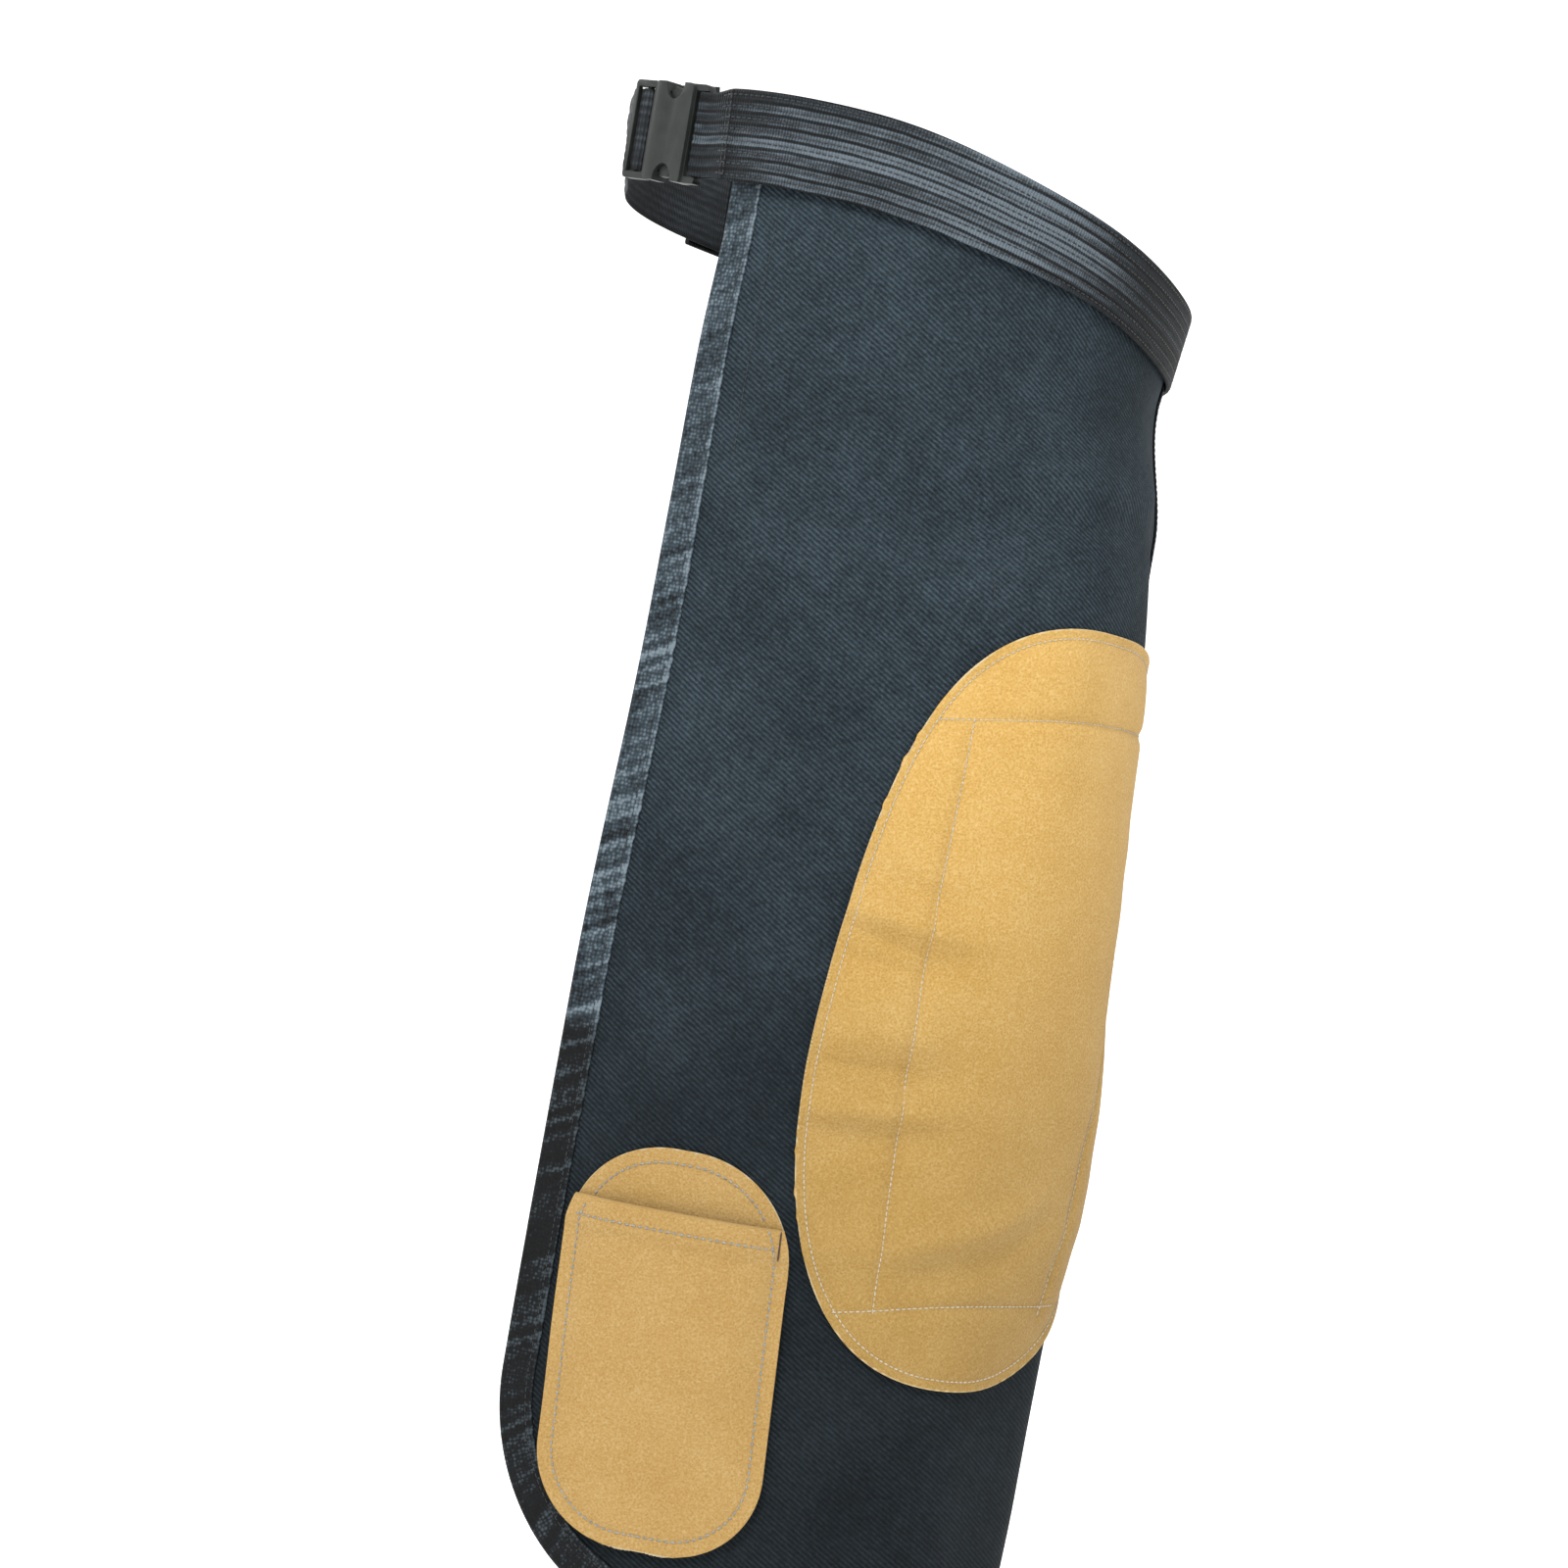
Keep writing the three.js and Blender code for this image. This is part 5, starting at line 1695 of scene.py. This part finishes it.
@dataclass
class StrapPath:
    """A strap's middle line with its own directions, from which its pieces are made."""

    points: Array
    up: Callable[[Array], Array]
    mirrored: bool = False

    def __post_init__(self) -> None:
        """Works out which way the strap runs, spreads and faces at each point."""
        ahead = unit(np.gradient(self.points, axis=0))
        lifted = np.array([self.up(p) for p in self.points])
        self.outwards = unit(np.cross(ahead, lifted))
        self.across = unit(np.cross(self.outwards, ahead))
        if self.mirrored:
            flip = np.array([-1.0, 1.0, 1.0])
            self.points, self.outwards = self.points * flip, self.outwards * flip
            self.across = self.across * flip

    def line(self, first: int, last: int, across: Any, depth: Any) -> tuple[Array, Array]:
        """A line on the strap between two of its points, as points and normals."""
        part = slice(first, last)
        sideways = self.across[part] * np.reshape(across, (-1, 1))
        shift = sideways + self.outwards[part] * np.reshape(depth, (-1, 1))
        return self.points[part] + shift, self.outwards[part]

    def band(
        self,
        name: str,
        half_widths: Array,
        section: Callable[[Array, Array, Array], Array],
        rib: Callable[[Array, Array, Array], Array],
        columns: int,
    ) -> bpy.types.Object:
        """The strap as a closed band.

        Args:
            name: the piece's name.
            half_widths: half the strap's width at each point.
            section: takes the distance along, the share across from -1 to 1 and the side,
                1 for the face and -1 for the back, and returns the distance from the middle.
            rib: takes the same, and returns how light the yarn is there.
            columns: faces across each side.

        Returns:
            The band.
        """
        shares = np.concatenate([np.linspace(-1, 1, columns + 1), np.linspace(1, -1, columns + 1)])
        sides = np.repeat([1.0, -1.0], columns + 1)
        ring, count = len(shares), len(self.points)
        along = lengths_along(self.points)

        def shape(u: Array, v: Array) -> tuple[Array, Array]:
            """The band's points and pattern."""
            i = np.rint(u * (count - 1)).astype(int)
            j = np.rint(v * ring).astype(int) % ring
            width = half_widths[i] * shares[j]
            depth = section(along[i], shares[j], sides[j])
            at = self.points[i] + self.across[i] * width[:, None] + self.outwards[i] * depth[:, None]
            return at, np.stack([along[i], width], 1)

        piece = grid_patch(name, count - 1, ring, shape)
        i, j = cell_shares(piece, count, ring)
        set_attribute(piece, "rib", rib(along[i], shares[j], sides[j]))
        close_tube(piece)
        return piece


def squared_up(place: Place, up: Callable[[Array], Array]) -> Callable[[Array], Array]:
    """A strap's width direction that turns into the buckle's own near the buckle."""

    def direction(p: Array) -> Array:
        """The direction at one point."""
        return mix(place.y, up(p), float(ease(np.linalg.norm(p - place.origin), 0.034, 0.060)))

    return direction


@dataclass
class Waistband:
    """The stitched webbing round the hips, the back strap with its tail, and their buckle."""

    finishes: Finishes
    width: float = 0.045
    thick: float = 0.0024
    loop_width: float = 0.0416
    ribs: int = 8
    ridge: float = 0.00042
    strap_width: float = 0.041
    strap_thick: float = 0.0015
    buckle_angle: float = 51.0
    buckle_turn: float = -16.0
    buckle_out: float = 0.006
    path_step: float = 0.0012
    narrowed: float = 0.065
    raised: float = 0.9

    def place(self) -> Place:
        """Where the belt buckle sits."""
        origin = BELT.point(self.buckle_angle, self.buckle_out)
        faces = self.buckle_angle + self.buckle_turn
        along = BELT.point(faces - 1, self.buckle_out) - BELT.point(faces + 1, self.buckle_out)
        return Place.facing(origin, along, np.cross(along, BELT.up(origin)))

    def band_path(self) -> tuple[StrapPath, int]:
        """The waistband's path, from its sewn-back end round the bar to the left of the back.

        Returns:
            The path, and the number of its point where the band leaves the bar.
        """
        place = self.place()
        out = PANEL_THICK + 0.0012 + 0.0005 + self.thick / 2
        loop = place.curve(BUCKLE.round_the_bar(self.thick, BELT_BUCKLE_SIZE))
        sewn_back = BELT.point(41, PANEL_THICK - self.thick / 2 - BUCKLE.gap)
        start = even_path(np.array([sewn_back, *loop[::-1], BELT.point(38, out + 0.0006)]), self.path_step)
        angles = np.linspace(36, -232, 300)
        ring = np.array([BELT.point(a, out) for a in angles])
        order = np.arange(len(angles))
        sway = 0.0007 * np.sin(np.radians(angles) * 7.3 + 0.8)
        ring[:, 2] += sway * ease(order, 4, 40) * ease(order, 296, 260) * 0.8
        points = np.vstack([start, ring])
        return StrapPath(points, squared_up(place, BELT.up)), len(start)

    def band(self) -> list[bpy.types.Object]:
        """The waistband, ribbed by its rows of stitching, with the rows themselves."""
        path, leaves = self.band_path()
        place = self.place()
        away = np.linalg.norm(path.points - place.origin, axis=1)
        half = mix(self.loop_width, self.width, ease(away, 0.023, 0.040)) / 2
        pulled_in = self.narrowed * ease(-path.points[:, 1], -0.02, 0.11)
        half = half * (1 - 2 * pulled_in)
        path.points[:, 2] += self.width * pulled_in * self.raised
        along = lengths_along(path.points)
        seam = along[leaves] - 0.004

        def section(s: Array, share: Array, side: Array) -> Array:
            """The webbing's ridges, with a pucker where the fold is sewn down."""
            ridge = self.ridge * np.abs(np.cos(share * self.ribs * math.pi / 2)) ** 0.7
            rounded = 1 - 0.55 * np.clip(np.abs(share) * 12 - 11, 0, 1) ** 2
            pull = 0.0007 * np.exp(-(((s - seam) / 0.0022) ** 2)) * (1 - 0.5 * share**2)
            flutter = 0.00012 * np.sin(s / 0.0021 + 5 * share) * np.sin(share * self.ribs * math.pi)
            return side * (self.thick / 2 * rounded - 0.0002 + ridge + flutter - pull * (side > 0))

        def rib(s: Array, share: Array, side: Array) -> Array:
            """Light along the ridges and lighter in the middle rows, with painted shade round the front and
            by the buckle.
            """
            ridge = np.abs(np.cos(share * self.ribs * math.pi / 2))
            middle = np.exp(-(((share - 0.05) / 0.55) ** 2))
            row = 0.16 * np.sin(np.floor((share + 1) * self.ribs / 2) * 2.3 + 0.6 * np.sin(s / 0.05))
            cloud = 0.12 * np.sin(s / 0.023 + 3 * share) * np.sin(s / 0.061 + 1.0)
            # Painted shade where the band turns round the front, with a painted highlight just before it.
            front = ease(s, 0.225, 0.315) - 0.6 * np.exp(-(((s - 0.20) / 0.05) ** 2))
            # Painted shade in the crease of the sewn fold and over the band by the buckle.
            fold = 0.35 * np.exp(-(((s - seam) / 0.0016) ** 2)) + 0.34 * (1 - ease(s, seam, seam + 0.034))
            return 0.34 + 0.30 * ridge + 0.34 * middle + row + cloud - 0.62 * front - fold

        piece = path.band("waistband_webbing", half, section, rib, 72)
        self.finishes.belt.dress(piece)
        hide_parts("waistband")
        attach(piece, "waist")
        return [piece, self.rows(path, half, leaves), self.fold_seam(path, half, leaves)]

    def rows(self, path: StrapPath, half: Array, leaves: int) -> bpy.types.Object:
        """The rows of stitching along the webbing's furrows."""
        lines = []
        first, last = leaves - 6, len(path.points) - 3
        for row in range(self.ribs):
            share = (2 * row + 1) / self.ribs - 1
            lines.append(path.line(first, last, share * half[first:last], self.thick / 2 - 0.0001))
        piece = BELT_THREAD.sew("waistband_stitch_rows", lines)
        self.finishes.dark_thread.dress(piece)
        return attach(piece, "waist")

    def fold_seam(self, path: StrapPath, half: Array, leaves: int) -> bpy.types.Object:
        """The upright line of stitching that closes the fold round the bar."""
        at = leaves - 3
        lines = []
        across = path.across[at] * (np.linspace(-0.93, 0.93, 60) * half[at])[:, None]
        for shift in (0, 2):
            points = path.points[at + shift] + across + path.outwards[at] * (self.thick / 2 - 0.0001)
            lines.append((points, np.repeat(path.outwards[at][None], 60, 0)))
        piece = BELT_THREAD.sew("waistband_fold_seam", lines)
        self.finishes.dark_thread.dress(piece)
        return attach(piece, "waist")

    def back_strap(self) -> bpy.types.Object:
        """The adjustable strap behind the wearer, woven through the plug, with its tail."""
        place = self.place()
        woven = place.curve(BUCKLE.through_the_ladder(self.strap_thick, BELT_BUCKLE_SIZE))
        inside = -BUCKLE.half_thick - BUCKLE.gap - self.strap_thick / 2
        hanging = ((-0.014, 0.003, 0.0009), (0.0, 0.0045, 0.0013), (0.014, 0.005, 0.0016))
        tail = [place.at(x, y, inside - clear) for x, y, clear in hanging]
        under = PANEL_THICK - self.strap_thick / 2 - 0.0001
        angles = np.linspace(-223, -281, 60)
        back = [BELT.point(a, float(mix(under, 0.004, ease(a, -240, -281)))) for a in angles]
        end = even_path(np.array([*woven, *tail]), self.path_step)
        joined = even_path(np.array([back[-1], (back[-1] + end[0]) / 2, end[0]]), 0.004)
        points = np.vstack([back[:-1], joined[:-1], end])
        path = StrapPath(points, squared_up(place, BELT.up))

        def section(s: Array, share: Array, side: Array) -> Array:
            """Plain webbing with soft selvages and fine ridges."""
            rounded = 1 - 0.5 * np.clip(np.abs(share) * 12 - 11, 0, 1) ** 2
            return side * (self.strap_thick / 2 * rounded + 0.00012 * np.cos(share * 30) - 0.0001)

        def rib(s: Array, share: Array, side: Array) -> Array:
            """Light ridges, with darker selvages."""
            sheen = 0.18 * np.cos(share * 30) + 0.15 * np.sin(s / 0.018 + share)
            return 0.45 + sheen - 0.2 * (np.abs(share) > 0.93)

        piece = path.band("back_strap_webbing", np.full(len(points), self.strap_width / 2), section, rib, 40)
        self.finishes.strap.dress(piece)
        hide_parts("back_strap")
        start, finish = back[0], place.at(-0.035, 0, 0)
        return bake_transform(piece)

    def build(self) -> list[bpy.types.Object]:
        """Makes the band, the strap and the buckle."""
        buckle = SideReleaseBuckle("belt", "belt", "waist", self.finishes)
        return [*self.band(), self.back_strap(), *buckle.build()]


@dataclass
class CentreSeam:
    """The strip over the join of the two leg panels in front, from the belt to the slit."""

    right: PanelSurface
    finishes: Finishes
    half_width: float = 0.0075
    bottom: float = -0.229
    thick: float = 0.0011

    def spot(self, x: Array, z: Array, out: Array) -> Array:
        """Points in front of the panels at a sideways place and a height."""
        width = self.right.width(z)
        points = self.right.point(width - np.abs(x), z, PANEL_THICK + 0.0003 + out)
        return np.stack([x, points[..., 1], points[..., 2]], -1)

    def build(self) -> list[bpy.types.Object]:
        """Makes the strip, its stitching and the bar tack over the slit."""
        top = float(BELT.height(-0.147)) + 0.004

        def shape(u: Array, v: Array) -> tuple[Array, Array]:
            """The strip's points and pattern."""
            x, z = (2 * u - 1) * self.half_width, mix(self.bottom, top, v)
            out = 0.0002 * np.cos(x / self.half_width * math.pi / 2)
            return self.spot(x, z, out), np.stack([x, z], 1)

        strip = grid_patch("front_seam_tape", 12, 90, shape, np.array([0.0, -1.0, 0.0]))
        set_attribute(strip, "rib", np.full(len(strip.data.vertices), 0.4))
        # The strip is mixed three quarters of the way to the tape's painted-shade tones.
        set_attribute(strip, "fade", np.full(len(strip.data.vertices), 0.75))
        thicken(strip, self.thick, 1.0, 0.0003)
        self.finishes.tape.dress(strip)
        lines = []
        for x in (-0.0055, 0.0055):
            z = np.linspace(self.bottom + 0.002, top - 0.006, 200)
            points = self.spot(np.full(200, x), z, np.full(200, self.thick + 0.0001))
            lines.append((points, np.tile([0.0, -1.0, 0.0], (200, 1))))
        seams = TAPE_THREAD.sew("front_seam_stitches", lines)
        x = np.linspace(-0.006, 0.006, 16)
        across = self.spot(x, np.full(16, self.bottom + 0.005), np.full(16, self.thick + 0.0003))
        tack = TACK_THREAD.sew("front_slit_bar_tack", [(across, np.tile([0.0, -1.0, 0.0], (16, 1)))])
        self.finishes.dark_thread.dress(seams, tack)
        for piece in (strip, seams, tack):
            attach(piece, "waist")
        return [strip, seams, tack]


@dataclass
class LegStrap:
    """The elastic strap behind a leg, in two lengths, and its small buckle."""

    surface: PanelSurface
    right: PanelSurface
    finishes: Finishes
    width: float = 0.025
    thick: float = 0.0011
    z: float = -0.424
    size: tuple[float, float, float] = (0.75, 0.6, 0.8)
    middle: tuple[float, float] = (-0.092, 0.076)
    turn: float = 170.0
    behind: float = -0.00415

    def length(self, name: str, points: Array) -> bpy.types.Object:
        """One length of elastic along a path on the right side, mirrored for the left."""
        mirrored = self.surface.side is Side.LEFT
        path = StrapPath(points, lambda p: UP, mirrored)

        def section(s: Array, share: Array, side: Array) -> Array:
            """Elastic with fine cords along it and a soft selvage."""
            rounded = 1 - 0.5 * np.clip(np.abs(share) * 9 - 8, 0, 1) ** 2
            return side * (self.thick / 2 * rounded + 0.00009 * np.cos(share * 34) - 0.00008)

        def rib(s: Array, share: Array, side: Array) -> Array:
            """Light cords, and the cross ripple of slack elastic."""
            return 0.4 + 0.2 * np.cos(share * 34) + 0.15 * np.sin(s / 0.0011)

        piece = path.band(name, np.full(len(points), self.width / 2), section, rib, 28)
        self.finishes.elastic.dress(piece)
        return piece

    def on_panel(self, along: Any, out: float) -> Array:
        """Points along the strap's height behind the right panel's smooth surface."""
        along = np.atleast_1d(np.asarray(along, float))
        z = np.full(along.shape, self.z)
        ahead = self.right.base(along + PROBE, z) - self.right.base(along - PROBE, z)
        normal = unit(np.cross(ahead, UP))
        return self.right.base(along, z) + normal * out

    def build(self) -> list[bpy.types.Object]:
        """Makes both lengths and the buckle."""
        word = self.surface.side.word
        a = math.radians(self.turn)
        ahead = np.array([math.cos(a), math.sin(a), 0.0])
        place = Place.facing(np.array([*self.middle, self.z]), ahead, np.array([0.0, 1.0, 0.0]))
        loop = place.curve(BUCKLE.round_the_bar(self.thick, self.size))[::-1]
        width = float(self.right.width(self.z))
        free = np.array([-0.132, 0.084, self.z])
        edge = [self.on_panel(0.003, self.behind - 0.004)[0], self.on_panel(0.012, self.behind - 0.0004)[0]]
        sewn = list(self.on_panel([0.020, 0.038, 0.056], self.behind))
        turned = even_path(np.array(loop), 0.0010)
        outer = np.vstack([turned, even_path(np.array([turned[-1], free, *edge, *sewn]), 0.004)[1:]])
        ladder = even_path(np.array(place.curve(BUCKLE.through_the_ladder(self.thick, self.size))), 0.0010)
        start = list(self.on_panel(width - np.array([0.046, 0.032, 0.018, 0.004]), self.behind))
        way = [np.array([x, y, self.z]) for x, y in ((-0.023, -0.022), (-0.026, 0.018), (-0.039, 0.050))]
        inner = np.vstack([even_path(np.array([*start, *way, ladder[0]]), 0.004)[:-1], ladder])
        first = self.length(f"{word}_leg_strap_outer_elastic", outer)
        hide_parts(f"{word}_leg_strap_outer")
        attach(first, f"{word}_leg")
        second = self.length(f"{word}_leg_strap_inner_elastic", inner)
        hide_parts(f"{word}_leg_strap_inner")
        flip = np.array([-self.surface.side.value, 1, 1])
        begin, finish = start[-1] * flip, place.at(-0.049 * self.size[0], 0, 0) * flip
        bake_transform(second)
        buckle = SideReleaseBuckle(f"{word}_leg", f"{word}_leg", f"{word}_leg", self.finishes, 0.0004)
        return [first, second, *buckle.build()]


# ---------------------------------------------------------------- the studio


@dataclass(frozen=True)
class Studio:
    """A pale floor that curves up all round, soft lights, and the camera."""

    floor: float = -0.93
    reach: float = 7.0
    location: tuple[float, float, float] = (-1.9771, 0.0041, -0.3222)
    target: tuple[float, float, float] = (-0.17, 0.0126, -0.2993)
    roll: float = 9.87
    lens: float = 86.53

    def stage(self) -> bpy.types.Object:
        """The floor, one sheet that turns up into a backdrop on every side."""

        def shape(u: Array, v: Array) -> tuple[Array, Array]:
            """The floor's points and pattern."""
            x, y = (2 * u - 1) * self.reach, (2 * v - 1) * self.reach
            rise = 3.2 * ease(np.hypot(x, y), 3.4, self.reach * 1.1) ** 1.4
            return np.stack([x, y, self.floor + rise], 1), np.stack([x, y], 1)

        floor = grid_patch("studio_floor", 70, 70, shape, UP)
        smooth(floor, 60)
        paper = Finish("seamless_paper")
        at = paper.add("TexCoord").outputs["Object"]
        fibre = paper.add("TexNoise", {"Vector": at, "Scale": 40.0, "Detail": 3.0})
        colour = paper.ramp(fibre.outputs["Fac"], [(0.2, linear("#F4F4F4")), (0.8, linear("#FBFBFB"))])
        glow = {"Emission_Strength": 0.30, "Emission_Color": linear("#FFFFFF")}
        paper.surface(colour, 0.9, None, Specular_IOR_Level=0.1, **glow)
        paper.dress(floor)
        return floor

    def light(self, name: str, at: tuple[float, float, float], size: float, power: float) -> None:
        """A square soft light that faces the apron's middle."""
        lamp = bpy.data.lights.new(name, "AREA")
        lamp.shape, lamp.size, lamp.energy = "SQUARE", size, power
        holder = bpy.data.objects.new(name, lamp)
        bpy.context.scene.collection.objects.link(holder)
        holder.location = at
        aim = Vector((0.0, 0.0, -0.30)) - Vector(at)
        holder.rotation_euler = aim.to_track_quat("-Z", "Y").to_euler()

    def camera(self) -> None:
        """The camera, level with the thigh at the wearer's right and a little rolled."""
        lens = bpy.data.cameras.new("camera")
        lens.lens, lens.sensor_width = self.lens, 36.0
        lens.dof.use_dof = False
        lens.clip_start, lens.clip_end = 0.05, 60.0
        holder = bpy.data.objects.new("camera", lens)
        bpy.context.scene.collection.objects.link(holder)
        ahead = unit(np.array(self.target) - np.array(self.location))
        upright = unit(UP - ahead * ahead[2])
        sideways = np.cross(ahead, upright)
        a = math.radians(self.roll)
        up = math.cos(a) * upright - math.sin(a) * sideways
        turn = Matrix(np.stack([np.cross(ahead, up), up, -ahead], 1).tolist())
        holder.matrix_world = Matrix.Translation(Vector(self.location)) @ turn.to_4x4()
        bpy.context.scene.camera = holder

    def world(self) -> None:
        """An even white surround."""
        world = bpy.data.worlds.new("white_surround")
        world.use_nodes = True
        background = world.node_tree.nodes["Background"]
        background.inputs["Color"].default_value = (1.0, 1.0, 1.0, 1.0)
        background.inputs["Strength"].default_value = 0.85
        bpy.context.scene.world = world

    def build(self) -> None:
        """Sets up the whole studio."""
        self.stage()
        self.camera()
        self.world()
        self.light("key_light", (-1.9, 0.6, 1.7), 1.1, 95.0)
        self.light("front_light", (-1.6, -2.8, 0.9), 2.0, 16.0)
        self.light("back_light", (1.9, 2.2, 1.6), 2.0, 110.0)
        scene = bpy.context.scene
        scene.view_settings.view_transform = "Standard"
        scene.view_settings.look = "None"


# ---------------------------------------------------------------- the apron


def build_apron() -> None:
    """Builds every piece in order, dresses it, and sets up the studio."""
    logging.basicConfig(level=logging.INFO, format="%(name)s: %(message)s")
    finishes = Finishes()
    surfaces = {side: PanelSurface(side) for side in Side}
    made: list[bpy.types.Object] = []
    made += Waistband(finishes).build()
    LOG.info("waistband, back strap and belt buckle: %d pieces", len(made))
    for side, surface in surfaces.items():
        panel = LegPanel(surface, finishes)
        patch = KneePatch(surface, finishes)
        pocket = ToolPocket(surface, finishes)
        strap = LegStrap(surface, surfaces[Side.RIGHT], finishes)
        made += [panel.panel(), panel.tape(), panel.stitches()]
        LOG.info("%s leg: panel and edge tape", side.word)
        made += [patch.leather(), patch.stitches(), patch.lining()]
        LOG.info("%s leg: knee patch and lining", side.word)
        made += [pocket.backing(), pocket.front(), *pocket.stitches()]
        LOG.info("%s leg: tool pocket", side.word)
        made += strap.build()
        LOG.info("%s leg: strap and buckle", side.word)
    made += CentreSeam(surfaces[Side.RIGHT], finishes).build()
    LOG.info("front seam")
    for piece in made:
        LOG.info("%s: %d faces", piece.name, len(piece.data.polygons))
    Studio().build()


if __name__ == "__main__":
    build_apron()
